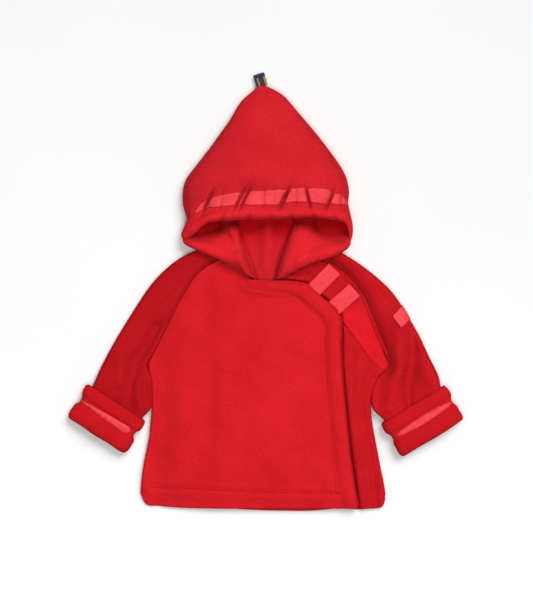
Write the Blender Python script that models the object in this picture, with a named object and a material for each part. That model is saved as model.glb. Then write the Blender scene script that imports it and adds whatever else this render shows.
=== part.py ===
"""Hooded fleece wrap jacket for a one-year-old, laid flat with its front up.

X runs across the chest, Y towards the tip of the hood and Z up from the surface that it lies on.
Every table below is in millimetres; the meshes are made in metres.
"""
import math

import bpy
import numpy as np

MM = 0.001
CLOTH = 3.0            # fleece
CUFF_CLOTH = 2.6
TAPE = 1.2             # ribbon and label tape
SEAM = 0.2             # from a seam line to the edge of each piece
LIFT = 0.4             # between a trim and the cloth that it lies on
SIDE_HEIGHT = 10.8     # body, where front and back meet at the side
UNDERLAP_TOP = 6.4     # front_left, where front_right lies over it
UNDERLAP_SHOWN = 2.2   # how much higher front_left lies where it shows
FRONT_TOP = 8.6        # front_right, where it lies on the back panel alone
OVER_UNDERLAP = 1.7    # how much higher it lies over front_left
UNDER_HOOD_TOP = 9.0   # front_right, where the hood lies over it

SIDE_ROWS, RAGLAN_ROWS = 10, 14

# Seam lines in plan, from the hem to the underarm and from there to the neck: x, y
SIDE_LEFT = [(-164, -262), (-162, -241), (-158.5, -218), (-153, -192), (-150, -166), (-149, -140),
             (-150, -114), (-153, -93)]
SIDE_RIGHT = [(156, -264), (154, -247), (149, -224), (144, -198), (139.5, -174), (137, -153),
              (139, -130), (145, -113), (157, -96)]
RAGLAN_LEFT = [(-153, -93), (-144, -76), (-134, -55), (-125, -37), (-114, -15), (-101, 7), (-90, 23),
               (-73, 36), (-52, 46), (-31, 53)]
RAGLAN_RIGHT = [(157, -96), (152, -75), (144, -57), (137, -39), (130, -21), (123, -5), (114, 7),
                (98, 24), (77, 39), (54, 51), (33, 59)]
BACK_RAGLAN_LEFT = RAGLAN_LEFT[:6] + [(-89, 25), (-72, 39), (-51, 52), (-29, 63)]
BACK_RAGLAN_RIGHT = RAGLAN_RIGHT[:7] + [(99, 25), (78, 41), (54, 54), (31, 65)]

# front_right from the hem to the neck: side or raglan seam, stitch line of the facing, wrapping edge
FRONT_RIGHT = [
    # stitch_x, stitch_y, edge_x, edge_y
    (92, -281.5, 120, -281.5), (91, -259, 117.5, -259), (88, -225, 112, -225),
    (84, -190, 108, -190), (82, -155, 104.5, -155), (80, -125, 101.5, -125),
    (78, -95, 99, -95), (77, -70, 98, -70), (76, -49, 98, -46),
    (73, -36, 96, -28), (65, -28, 87, -18), (56, -20, 76, -8),
    (45, -10, 64, 2), (33, -3, 52.5, 12), (13, 1.5, 26, 15.5),
    (-10, 4.5, -3, 15.5), (-26, 12, -18.5, 16), (-33, 26, -22.5, 28), (-37, 41, -26, 38)]
FRONT_RIGHT_SIDE_STEPS = 7

# front_left: edge hidden under front_right, line just inside that edge, then the seam on its other side
FRONT_LEFT = [
    # hidden_x, hidden_y, lap_x, lap_y
    (-65, -281, 112, -281.5), (-60, -250, 109, -252), (-57, -222, 105, -222),
    (-54, -193, 101.5, -193), (-53, -166, 98, -166), (-52, -139, 95.5, -139),
    (-52, -112, 93.5, -112), (-52, -85, 92, -86), (-52, -60, 91.5, -60),
    (-48, -38, 90, -38), (-38, -20, 80, -25), (-24, -6, 66, -12),
    (-8, 4, 54, -1), (8, 11, 48, 9), (18, 20, 43, 19), (22, 34, 38, 34), (25.5, 46, 37, 49)]

# Lower edge of the fronts (x, y) and how far it bends each following row
HEM = [(-164, -262), (-159, -273), (-144, -277.5), (-112, -280.5), (-47, -281.5), (130, -281.5),
       (150, -278), (156, -266)]
BACK_HEM_DROP = 2.5
BACK_NECK = [
    # x, rise of the neck edge above the line between its corners
    (-29, 0), (-25, 1.5), (-18, 3.0), (1, 2.6), (20, 2.4), (27, 1.8), (31, 0)]
NECK_FADE = (0.3, 1.0)
FRONT_STOP = 0.92      # share of the raglan seam at which the fronts end, under the hood

# Row from which the fronts go under the hood, and height of their raglan edges: row, height
HOOD_OVER_ROW = 18
RIGHT_BORDER = [(18, 7.6), (21, 8.6)]
LEFT_BORDER = [(0, 8.2), (14, 8.2), (18, 7.0), (22, 6.6)]

# Added height of front_right from its stitch line to its edge and of its rows at the hem, and share of
# the rise of front_left from under the lap to where it shows
FACING_LIFT = (-0.3, 1.2, 1.9, 1.7, 1.0)
HEM_LIFT = (0.2, 0.9, -0.1)
LAP_LEAD, LAP_RAMP = 24.0, 16.0   # where front_right starts to climb on front_left, and over what length
UNDERLAP_RISE = (0.02, 0.3, 0.75, 1.0, 1.0, 1.0)

# Sleeves: outer fold in plan from the neck to the point across from the underarm, then down to the cuff
SLEEVE = {
    "left": {
        "shoulder": [(-38, 71), (-62, 66), (-88, 56), (-110, 46), (-131, 30), (-149, 11), (-163, -9),
                     (-177, -31), (-190, -52), (-201, -71)],
        "lower_fold": [(-201, -71), (-209, -86), (-216.5, -101), (-222, -114), (-226.5, -125)],
        "lower_seam": [(-153.8, -94), (-151.6, -112), (-150.8, -130), (-153, -150), (-161, -163)],
    },
    "right": {
        "shoulder": [(38, 73), (65, 65), (96, 53), (122, 37), (144, 20), (162, 3), (176, -16),
                     (188, -36), (199, -55), (207, -72)],
        "lower_fold": [(207, -72), (214, -87), (221, -101), (226, -114), (227.5, -124)],
        "lower_seam": [(158, -97), (146.5, -113), (140.5, -130), (142.5, -150), (152, -164)],
    },
}
SLEEVE_LOWER_ROWS = 5
SLEEVE_FOLDS = {
    # height (below zero for a valley), half width, plan line
    "left": [(-1.9, 11, [(-142, -45), (-155, -68), (-169, -90), (-175, -116)]),
             (0.9, 9, [(-191, -88), (-191, -116)])],
    "right": [(1.0, 10, [(172, -40), (174, -106)]), (-1.8, 9, [(189, -48), (191, -116)])],
}

# Cuffs: centre of the upper band, direction across, direction to the wrist
CUFF = {
    "left": {"centre": (-200.2, -152.1), "across": (0.844, -0.537), "wrist": (-0.537, -0.844)},
    "right": {"centre": (196.3, -154.1), "across": (0.855, 0.519), "wrist": (0.519, -0.855)},
}
CUFF_BANDS = {
    # along, half_width, height
    "left": [(-11.5, 43.5, 15.4), (-9, 45.2, 16.6), (-3, 45.8, 17.4), (3, 45, 17), (7.2, 42.6, 13.2),
             (11, 41.2, 12.6), (14.2, 42, 13.2), (19, 45.3, 16.6), (26, 46, 17.6), (33, 46, 17),
             (38.5, 43.8, 14.6), (40.6, 40.5, 11.4)],
    "right": [(-10.5, 48.6, 15.4), (-8, 49.2, 16.6), (-3, 50.3, 17.4), (4, 49.8, 17), (9, 46.8, 13.2),
              (12.5, 45.4, 12.6), (16, 46.4, 13.2), (21, 48.4, 16.8), (28, 48.4, 17.6), (34, 48.6, 17),
              (39.5, 47, 14.6), (41.6, 44, 11.4)],
}
CUFF_RIBBON_ROWS = (4, 6)
SLEEVE_IN_CUFF = 4.0   # how far past the middle of the upper band the sleeve ends

# Hood outline in plan (x at each y), then its rows from the tip to the face edge
HOOD_LEFT = [(268, -10.5), (257, -23), (246, -34), (224, -47), (206, -60), (188, -73), (170, -87),
             (158, -96), (146, -104), (133, -108), (115, -108), (103, -105), (94, -103), (85, -106.5),
             (75, -110), (69, -108)]
HOOD_RIGHT = [(268, 1.5), (262, 14), (253, 26), (233, 43), (201, 70), (170, 93), (157, 101),
              (146, 105.5), (131, 108), (116, 107), (101, 110), (88, 112.5), (75, 112.5), (66, 109)]
HOOD_ROWS = [
    # left_y, middle_y, right_y, height, side_z
    (268, 268.5, 268, 8, 4), (259, 260, 260, 11, 5), (243, 245, 245, 15, 6),
    (225, 227, 227, 19, 6.5), (207, 208, 208, 24, 7.5), (189, 189, 189, 29, 8), (171, 171, 171, 33, 8),
    (152, 156, 155, 36.5, 8), (134, 145, 140, 37, 8), (118, 136, 127, 33.5, 8), (109, 130, 119, 31, 8.5),
    (100, 112, 112, 31, 9), (94, 107, 105, 34, 10), (87, 102, 94, 35.5, 11), (79, 97, 81, 33.5, 12.5),
    (69, 92.5, 66, 29, 14)]
HOOD_RIBBON_ROWS = (10, 11)
GATHERS = [
    # x, depth of the pucker that the ribbon draws in the hood
    (-74, 2.2), (-50, 1.2), (-34, 2.2), (-24, 1.6), (-3, 1.4), (10, 0.8), (22, 3.0), (38, 1.0), (53, 2.0),
    (68, 1.0), (82, 2.0), (98, 1.8)]
GATHER_REACH = 5.0
HOOD_HALF = 108.0      # half width of the hood at the ribbon
GATHER_ROWS = (0, 0, 0, 0, 0, 0, 0, 0, 0.2, 0.7, 1.0, 1.0, 0.6, 0.45, 0.4, 0.3)   # share of the depth
HOOD_SPREAD_ROW = 9    # below this row the under layer spreads to the neck seam and the front corners
BACK_SEAM = [(79, 1.0), (200, 0.5), (268, -4.5)]

# Free and sewn edge of the under layer, from the side corner to the centre back: x, y, z of its underside
HOOD_EDGE = {
    "left": [(-108, 69, 9), (-101, 60, 12), (-91, 55, 14.5), (-75, 49, 16), (-57, 41, 16), (-39, 32, 15),
             (-26, 23, 13.5), (-18, 17, 12), (-21, 29, 11), (-26, 44, 10), (-31.5, 58, 10), (-31, 68, 8.5),
             (-18, 68.3, 1.5), (0.8, 67.1, 0)],
    "right": [(109, 66, 9), (105, 56, 12), (98, 50.5, 14.5), (83, 45, 15.5), (64, 40, 15.5), (45, 32, 14),
              (29, 22.5, 12), (18, 18.5, 10), (20.5, 30, 9.8), (24.5, 45, 9.8), (29, 59, 10), (29.5, 68, 8.5),
              (19, 68.3, 1.5), (1.2, 67.1, 0)],
}
# What the hood lies over: neck side of sleeve and front, its inside on the side away from the neck
SHOULDER_EDGE = {
    "left": [(-150, 11), (-131, 31), (-110, 47), (-88, 59), (-62, 70), (-38, 76), (-28, 65), (-23, 48),
             (-19, 32), (-15, 14)],
    "right": [(162, 4), (144, 21), (122, 38), (96, 56), (65, 71), (38, 79), (27, 66), (22, 48), (19, 33),
              (16, 16)],
}
SHOULDER_CLEARANCE = 9.8
SHOULDER_RAMP = 20.0

# Closure tabs: hidden end, free end, width, and the height of the underside along each
TABS = {
    "tab_upper": {"start": (57.5, -1.5), "end": (89, 30.5), "width": 21, "rise": (6.9, 8.0, 9.2, 9.8, 10.2)},
    "tab_lower": {"start": (81.5, -26.5), "end": (115, 3.5), "width": 21.5,
                  "rise": (6.9, 8.0, 9.3, 10.0, 10.4)},
}
TAB_STEPS = (0.0, 0.25, 0.5, 0.75, 1.0)

# Sleeve label: distances from the neck along the outer fold, and the columns of the sleeve that it covers
LABEL_SPAN = (178.0, 188.0, 197.5)
LABEL_COLUMNS = (9, 15)

COLOURS = {
    "fleece": ((0.69, 0.014, 0.022), 0.95),
    "ribbon": ((0.97, 0.072, 0.09), 0.6),
    "loop": ((0.03, 0.035, 0.12), 0.8),
    "label": ((0.97, 0.072, 0.09), 0.7),
}


# ---------------------------------------------------------------- curves and small functions

def smooth(value):
    value = np.clip(value, 0.0, 1.0)
    return value * value * (3 - 2 * value)


def spline(table, at):
    """Rows of a table joined by a smooth curve and read at fractions 0..1 of its length in rows."""
    table = np.asarray(table, float)
    at = np.asarray(at, float) * (len(table) - 1)
    index = np.clip(np.floor(at).astype(int), 0, len(table) - 2)
    t = (at - index)[:, None]
    before, start = table[np.maximum(index - 1, 0)], table[index]
    end, after = table[index + 1], table[np.minimum(index + 2, len(table) - 1)]
    slope0, slope1 = (end - before) / 2, (after - start) / 2
    return ((2 * t**3 - 3 * t**2 + 1) * start + (t**3 - 2 * t**2 + t) * slope0
            + (-2 * t**3 + 3 * t**2) * end + (t**3 - t**2) * slope1)


def even(table, count, stop=1.0):
    """count points, evenly spaced along the smooth curve through a table, up to a share of its length."""
    fine = spline(table, np.linspace(0, 1, 400))
    length = np.concatenate([[0], np.cumsum(np.linalg.norm(np.diff(fine, axis=0), axis=1))])
    marks = np.linspace(0, length[-1] * stop, count)
    return np.stack([np.interp(marks, length, fine[:, k]) for k in range(fine.shape[1])], axis=1)


def inset(line, distance):
    """A plan line moved to its left, seen along its direction."""
    step = np.gradient(line, axis=0)
    step /= np.linalg.norm(step, axis=1, keepdims=True)
    return line + distance * np.stack([-step[:, 1], step[:, 0]], axis=1)


def body_rail(side, raglan, away, stop=1.0):
    """Side seam and raglan seam of a panel as one line, moved off the seam by the seam gap."""
    rail = np.concatenate([even(side, SIDE_ROWS), even(raglan, RAGLAN_ROWS, stop)[1:]])
    return inset(rail, away)


def rows_of(table, count=SIDE_ROWS + RAGLAN_ROWS - 1):
    """A station table read at the rows of the body: its side rows, then its raglan rows."""
    side = FRONT_RIGHT_SIDE_STEPS / (len(table) - 1)
    at = np.concatenate([np.linspace(0, side, SIDE_ROWS), np.linspace(side, 1, RAGLAN_ROWS)[1:]])
    return spline(table, at[:count])


# ---------------------------------------------------------------- walls of cloth

def directions(grid, axis, ring=False):
    """Mean unit step before and after each point along an axis of the grid."""
    if ring:
        after = np.roll(grid, -1, axis=axis) - grid
        after /= np.linalg.norm(after, axis=2, keepdims=True)
        return after + np.roll(after, 1, axis=axis)
    step = np.diff(grid, axis=axis)
    step /= np.linalg.norm(step, axis=2, keepdims=True)
    first, last = np.take(step, [0], axis=axis), np.take(step, [-1], axis=axis)
    return np.concatenate([first, step], axis=axis) + np.concatenate([step, last], axis=axis)


def outward(grid, ring=False):
    normal = np.cross(directions(grid, 1, ring), directions(grid, 0))
    return normal / np.linalg.norm(normal, axis=2, keepdims=True)


def wall_mesh(name, outer, inner, material, ring=False):
    """Closed solid between two grids of points; a ring is closed across its columns."""
    rows, columns = outer.shape[:2]
    points = np.concatenate([outer.reshape(-1, 3), inner.reshape(-1, 3)]) * MM
    last = columns if ring else columns - 1
    under = rows * columns

    def at(row, column):
        return row * columns + column % columns

    faces = []
    for row in range(rows - 1):
        for column in range(last):
            quad = (at(row, column), at(row, column + 1), at(row + 1, column + 1), at(row + 1, column))
            faces.append(quad)
            faces.append(tuple(under + index for index in reversed(quad)))
    for row, flip in ((0, False), (rows - 1, True)):
        for column in range(last):
            a, b = at(row, column), at(row, column + 1)
            quad = (b, a, under + a, under + b)
            faces.append(tuple(reversed(quad)) if flip else quad)
    if not ring:
        for column, flip in ((0, True), (columns - 1, False)):
            for row in range(rows - 1):
                a, b = at(row, column), at(row + 1, column)
                quad = (b, a, under + a, under + b)
                faces.append(tuple(reversed(quad)) if flip else quad)
    mesh = bpy.data.meshes.new(name)
    mesh.from_pydata([tuple(point) for point in points], [], faces)
    mesh.validate()
    piece = bpy.data.objects.new(name, mesh)
    bpy.context.scene.collection.objects.link(piece)
    mesh.materials.append(material)
    return piece


def cloth(name, outer, material, thickness=CLOTH, ring=False, edges=None, butted=None, upright=(),
          upright_end=False):
    """Wall whose outer face is the grid. edges thins it along its border to round the cut edge. butted
    gives, for a border column, how level its edge is in each row: 1 where it meets the next layer.
    upright names border columns whose edge stands straight up, and upright_end does so for the last rows."""
    thick = np.full(outer.shape[:2], float(thickness))
    if edges is not None:
        thick = thick * edges
    inner = outer - outward(outer, ring) * thick[:, :, None]
    for column, level in (butted or {}).items():
        inner[:, column, 2] += (outer[:, column, 2] - inner[:, column, 2]) * level
    for column in upright:
        inner[:, column, :2] = outer[:, column, :2]
    if upright_end:
        inner[-2:, :, :2] = outer[-2:, :, :2]
    return wall_mesh(name, outer, inner, material, ring)


def trim(name, patch, material, thickness=TAPE, ring=False, lift=LIFT):
    """Tape on cloth: the cloth's own points, moved out."""
    normal = outward(patch, ring)
    return wall_mesh(name, patch + normal * (lift + thickness), patch + normal * lift, material, ring)


def make_material(name):
    colour, roughness = COLOURS[name]
    material = bpy.data.materials.new(name)
    material.use_nodes = True
    shader = material.node_tree.nodes["Principled BSDF"]
    shader.inputs["Base Color"].default_value = (*colour, 1.0)
    shader.inputs["Roughness"].default_value = roughness
    shader.inputs["Metallic"].default_value = 0.0
    return material


# ---------------------------------------------------------------- body panels

CURL = [
    # angle round the side, reach from the edge where the cloth lies flat
    (2, 0.0), (32, 1.4), (62, 3.6), (90, 6.0)]


def curl_rows():
    """1 along the side seam, 0 along the raglan seam."""
    row = np.arange(SIDE_ROWS + RAGLAN_ROWS - 1)
    return 1 - smooth((row - (SIDE_ROWS - 2)) / 2.0)


def side_curl(rail, inner, top, border, up=1):
    """Plan points and heights of the columns next to a seam, for every row: a quarter turn down to
    mid-height along the side, and a nearly flat edge that drops to the border's height elsewhere."""
    inward = inner - rail
    width = np.linalg.norm(inward, axis=1)
    inward /= width[:, None]
    curl, radius = curl_rows(), SIDE_HEIGHT / 2
    plan, level = [], []
    for angle, reach in CURL:
        turn = math.radians(angle)
        flat_z = border + (top - border) * float(smooth(reach / CURL[-1][1]))
        a = curl * radius * (1 - math.cos(turn)) + (1 - curl) * np.minimum(reach, reach / 6 * width * 0.3)
        plan.append(rail + inward * a[:, None])
        level.append(curl * (radius + up * radius * math.sin(turn)) + (1 - curl) * flat_z)
    return plan, level


def spread(start, end, steps, power=1.0):
    """Columns after start, up to and with end; power above 1 packs them towards start."""
    return [start + (end - start) * ((k + 1) / steps) ** power for k in range(steps)]


def hem_bend(plan, rows=3.2):
    """Moves the first rows towards the curve of the hem."""
    table = np.asarray(HEM, float)
    drop = np.interp(plan[0, :, 0], table[:, 0], table[:, 1]) - plan[0, :, 1]
    fade = 1 - smooth(np.arange(len(plan)) / rows)
    plan[:, :, 1] += drop[None, :] * fade[:, None]
    return plan


def distance_to(line, x, y):
    """Distance of plan points to a line, and the same with a minus on the line's left."""
    line = np.array(line, float)
    best = np.full(np.shape(x), 1e9)
    signed = np.zeros(np.shape(x))
    for start, end in zip(line[:-1], line[1:]):
        step = end - start
        t = np.clip(((x - start[0]) * step[0] + (y - start[1]) * step[1]) / (step @ step), 0, 1)
        dx, dy = x - start[0] - t * step[0], y - start[1] - t * step[1]
        distance = np.hypot(dx, dy)
        left = step[0] * dy - step[1] * dx > 0
        signed = np.where(distance < best, np.where(left, -distance, distance), signed)
        best = np.minimum(best, distance)
    return best, signed


def fold_height(folds, x, y):
    """Height that a table of folds adds at plan points."""
    return sum(height * np.exp(-(distance_to(line, x, y)[0] / half) ** 2) for height, half, line in folds)


def with_height(plan, top):
    return np.concatenate([plan, top[:, :, None]], axis=2)


def build_front_right(material):
    seam = body_rail(SIDE_LEFT, RAGLAN_LEFT, -SEAM, FRONT_STOP)
    rails = rows_of(FRONT_RIGHT)
    stitch, edge = rails[:, :2], rails[:, 2:]
    rows = len(seam)
    row = np.arange(rows)
    border = np.interp(row, *np.transpose(RIGHT_BORDER))
    curl_plan, curl_level = side_curl(seam, stitch, np.full(rows, FRONT_TOP), border)
    facing_columns = len(FACING_LIFT) - 1
    columns = curl_plan + spread(curl_plan[-1], stitch, 10, 1.2) + spread(stitch, edge, facing_columns)
    plan = hem_bend(np.stack(columns, axis=1))
    underlap = np.array(FRONT_LEFT[:9], float)
    hidden = np.interp(plan[:, :, 1], underlap[:, 1], underlap[:, 0])
    top = FRONT_TOP + OVER_UNDERLAP * smooth((plan[:, :, 0] - hidden + LAP_LEAD) / LAP_RAMP)
    under_hood = smooth((row - HOOD_OVER_ROW) / 3.0)[:, None]
    top = top * (1 - under_hood) + UNDER_HOOD_TOP * under_hood
    band = np.zeros(plan.shape[1])
    band[-facing_columns - 1:] = FACING_LIFT
    top += band[None, :] * (1 - smooth((row - HOOD_OVER_ROW - 0.5) / 2.0))[:, None]
    top[:len(HEM_LIFT)] += np.array(HEM_LIFT)[:, None]
    top[:, :len(CURL)] = np.stack(curl_level, axis=1)
    edges = np.ones(plan.shape[:2])
    edges[:, -1] = 0.55
    edges[0, :] = 0.7
    return cloth("front_right", with_height(plan, top), material, edges=edges,
                 butted={0: curl_rows()}, upright_end=True)


def build_front_left(material):
    seam = body_rail(SIDE_RIGHT, RAGLAN_RIGHT, SEAM, FRONT_STOP)
    rails = rows_of(FRONT_LEFT)
    hidden, lap = rails[:, :2], rails[:, 2:]
    row = np.arange(len(seam))
    border = np.interp(row, *np.transpose(LEFT_BORDER))
    shown_top = UNDERLAP_TOP + UNDERLAP_SHOWN * (1 - smooth((row - HOOD_OVER_ROW + 1) / 3.0))
    curl_plan, curl_level = side_curl(seam, lap, shown_top, border)
    hidden_steps = 6
    columns = [hidden] + spread(hidden, lap, hidden_steps) + spread(lap, curl_plan[-1], len(UNDERLAP_RISE))
    plan = hem_bend(np.stack(columns + curl_plan[-2::-1], axis=1))
    share = np.concatenate([np.zeros(hidden_steps + 1), UNDERLAP_RISE, np.ones(len(CURL) - 1)])
    top = UNDERLAP_TOP + (shown_top - UNDERLAP_TOP)[:, None] * share[None, :]
    top[:, -len(CURL):] = np.stack(curl_level[::-1], axis=1)
    edges = np.ones(plan.shape[:2])
    edges[0, :] = 0.7
    return cloth("front_left", with_height(plan, top), material, edges=edges, butted={-1: curl_rows()})


def build_back(material):
    left = body_rail(SIDE_LEFT, BACK_RAGLAN_LEFT, -SEAM)
    right = body_rail(SIDE_RIGHT, BACK_RAGLAN_RIGHT, SEAM)
    zero = np.zeros(len(left))
    left_plan, left_level = side_curl(left, right, zero, zero, up=-1)
    right_plan, right_level = side_curl(right, left, zero, zero, up=-1)
    steps = 10
    columns = left_plan + spread(left_plan[-1], right_plan[-1], steps) + right_plan[-2::-1]
    plan = hem_bend(np.stack(columns, axis=1))
    count = plan.shape[1]
    from_side = np.minimum(np.arange(count), count - 1 - np.arange(count))
    plan[0, :, 1] -= BACK_HEM_DROP * smooth(from_side / 5.0)
    neck = plan[-len(NECK_FADE):]
    neck[:, :, 1] += np.array(NECK_FADE)[:, None] * np.interp(neck[:, :, 0], *np.transpose(BACK_NECK))
    level = np.zeros(plan.shape[:2])
    level[:, :len(CURL)] = np.stack(left_level, axis=1)
    level[:, -len(CURL):] = np.stack(right_level[::-1], axis=1)
    return cloth("back", with_height(plan, level)[:, ::-1], material,
                 butted={0: curl_rows(), -1: curl_rows()})


# ---------------------------------------------------------------- sleeves and cuffs

def sleeve_plan(side):
    """Outer fold, front edge and back edge of a sleeve for every row, neck first."""
    away = -SEAM if side == "left" else SEAM
    front = RAGLAN_LEFT if side == "left" else RAGLAN_RIGHT
    back = BACK_RAGLAN_LEFT if side == "left" else BACK_RAGLAN_RIGHT
    table = SLEEVE[side]
    rows = RAGLAN_ROWS
    fold = even(table["shoulder"], rows)
    front = inset(even(front, rows, FRONT_STOP), -away)[::-1]
    back = inset(even(back, rows), -away)[::-1]
    lower = SLEEVE_LOWER_ROWS
    seam = even(table["lower_seam"], lower)
    fold = np.concatenate([fold, even(table["lower_fold"], lower)[1:]])
    cuff = CUFF[side]
    centre, cross, wrist = (np.array(cuff[key]) for key in ("centre", "across", "wrist"))
    half = CUFF_BANDS[side][0][1] - 8.0
    ends = []
    for along in (-3.0, SLEEVE_IN_CUFF):
        outer_sign = -1 if side == "left" else 1
        ends.append((centre + wrist * along + cross * half * outer_sign,
                     centre + wrist * along - cross * half * outer_sign))
    fold = np.concatenate([fold, [ends[0][0], ends[1][0]]])
    inner = np.concatenate([seam[1:], [ends[0][1], ends[1][1]]])
    return fold, np.concatenate([front, inner]), np.concatenate([back, inner])


FOLD_ANGLES = (90, 55)
SEAM_TURN = [
    # angle round the underarm seam, reach from the edge where the cloth lies flat
    (2, 0.0), (45, 1.8), (90, 5.0)]
FLAT_SHARES = (0.17, 0.34, 0.5, 0.66, 0.83)


def sleeve_layer(width, height, curl, border, sign):
    """Points of one layer, from its seam to the middle of the outer fold: (distance from the fold, z)
    with z from mid-height; sign is 1 for the upper layer and -1 for the one underneath."""
    radius = height / 2
    squeeze = min(1.0, width * 0.3 / SEAM_TURN[-1][1])
    points = []
    for angle, reach in SEAM_TURN:
        turn = math.radians(angle)
        drop = (radius - border) * (1 - float(smooth(reach / SEAM_TURN[-1][1])))
        a = curl * radius * (1 - math.cos(turn)) + (1 - curl) * reach * squeeze
        points.append((width - a, sign * (curl * radius * math.sin(turn) + (1 - curl) * (radius - drop))))
    start, end = points[-1][0], min(radius, width * 0.45)
    points += [(start + (end - start) * share, sign * radius) for share in FLAT_SHARES]
    for angle in FOLD_ANGLES:
        turn = math.radians(angle)
        points.append((end * (1 - math.cos(turn)), sign * radius * math.sin(turn)))
    return points


def sleeve_grid(side):
    """Sections from the neck to the cuff, each from the front edge round the outer fold to the back one."""
    fold, front, back = sleeve_plan(side)
    rows = len(fold)
    row = np.arange(rows)
    curl = smooth((row - (RAGLAN_ROWS - 2)) / 2.0)
    base = np.interp(row, (0, rows - 6, rows - 4, rows - 3, rows - 1), (0, 0, 3.4, 4.4, 4.6))
    height = np.interp(row, (0, 3, rows - 6, rows - 4, rows - 3), (8.6, 9.2, 9.2, 8.2, 7.2))
    border = np.interp(row, (0, 3, RAGLAN_ROWS - 1), (6.6, 7.2, 7.2))
    grid = []
    for k in range(rows):
        radius = height[k] / 2
        line = []
        for edge, sign, level in ((front[k], 1, border[k] - radius), (back[k], -1, radius)):
            width = np.linalg.norm(edge - fold[k])
            towards = (edge - fold[k]) / width
            layer = sleeve_layer(width, height[k], curl[k], level, sign)
            points = [(*(fold[k] + towards * a), base[k] + radius + z) for a, z in layer]
            line += points if sign > 0 else [(*fold[k], base[k] + radius)] + points[::-1]
        grid.append(line)
    grid = np.array(grid)
    upper = grid[:, :grid.shape[1] // 2]
    share = (upper[:, :, 2] - (base + height / 2)[:, None]) / (height / 2)[:, None]
    upper[:, :, 2] += fold_height(SLEEVE_FOLDS[side], upper[:, :, 0], upper[:, :, 1]) * share
    return (grid if side == "left" else grid[:, ::-1]), curl


def cuff_grid(side, steps=24):
    """Rings from the cuff's free edge to the wrist, then back up inside it."""
    cuff = CUFF[side]
    centre, cross, wrist = (np.array(cuff[key]) for key in ("centre", "across", "wrist"))
    angles = np.arange(steps) / steps * 2 * math.pi
    rings = []
    tallest = max(height for _, _, height in CUFF_BANDS[side])
    for along, half, height in CUFF_BANDS[side]:
        radius = height / 2
        shape = np.sign(np.cos(angles)) * np.abs(np.cos(angles)) ** 0.42
        level = np.sign(np.sin(angles)) * np.abs(np.sin(angles)) ** 0.6
        plan = centre + wrist * along + np.outer(shape * half, cross)
        rings.append(np.column_stack([plan, tallest / 2 - (tallest - height) * 0.2 + level * radius]))
    return np.array(rings)


def build_cuff(side, material, ribbon_material):
    grid = cuff_grid(side)
    cloth("cuff_" + side, grid, material, thickness=CUFF_CLOTH, ring=True)
    first, last = CUFF_RIBBON_ROWS
    trim("cuff_ribbon_" + side, grid[first:last + 1], ribbon_material, thickness=0.8, ring=True, lift=0.3)


# ---------------------------------------------------------------- hood

def shoulder_rise(x, y, side):
    """Height that clears the shoulder: full over it, falling to nothing on the surface beyond it."""
    signed = distance_to(SHOULDER_EDGE[side], x, y)[1] * (1 if side == "left" else -1)
    return SHOULDER_CLEARANCE * smooth((signed + SHOULDER_RAMP) / SHOULDER_RAMP)


def hood_side_x(side, y):
    table = np.array(HOOD_LEFT if side == "left" else HOOD_RIGHT, float)[::-1]
    return np.interp(y, table[:, 0], table[:, 1])


def hood_under_half(side, columns=13):
    """Under layer from the side fold to the back seam, for every row of the hood."""
    steps = np.linspace(0, 1, columns + 1)
    edge = spline(HOOD_EDGE[side], steps)
    share = 0.92 * steps ** 4 + 0.08 * steps
    column = 0 if side == "left" else 2
    seam_y, seam_x = np.transpose(BACK_SEAM)
    gap = -SEAM if side == "left" else SEAM
    spread_y = HOOD_ROWS[HOOD_SPREAD_ROW][column]
    rows = []
    for index, row in enumerate(HOOD_ROWS):
        side_y, side_z = row[column], row[4]
        side_x = hood_side_x(side, side_y)
        t = max(0.0, (spread_y - side_y) / (spread_y - HOOD_ROWS[-1][column]))
        start_y = max(side_y, spread_y)
        start_x = hood_side_x(side, start_y)
        start_x = start_x + (np.interp(start_y, seam_y, seam_x) + gap - start_x) * share
        x = start_x + (edge[:, 0] - start_x) * t
        y = start_y + (edge[:, 1] - start_y) * t
        x += (side_x - x[0]) * (1 - share) ** 4
        z = shoulder_rise(x, y, side)
        z += np.maximum(edge[:, 2] - z, 0) * smooth((t - 0.3) / 0.7) ** 1.5
        if index <= HOOD_SPREAD_ROW:
            z = np.zeros_like(x)
        half = abs(x[0] - x[-1])
        turn = np.clip(np.hypot(x - x[0], y - y[0]) / min(7.0, 0.5 * half), 0, 1)
        z += np.maximum(side_z - z, 0) * (1 - np.sqrt(1 - (1 - turn) ** 2))
        rows.append(np.column_stack([x, y, z]))
    return np.array(rows)


def top_angles(columns=18, least=2.4):
    """Angles round the crown: even ones, with three more for each gather of the ribbon."""
    chosen = [math.degrees(math.asin((x + step) / HOOD_HALF)) for x, _ in GATHERS
              for step in (-GATHER_REACH, 0.0, GATHER_REACH) if abs(x + step) < HOOD_HALF * 0.97]
    chosen = [angle for k, angle in enumerate(chosen)
              if all(abs(angle - other) > least for other in chosen[:k])]
    plain = [angle for angle in np.linspace(-90, 90, columns + 1)[1:-1]
             if all(abs(angle - other) > least * 1.6 for other in chosen)]
    return np.radians(np.sort(chosen + plain))


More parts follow.
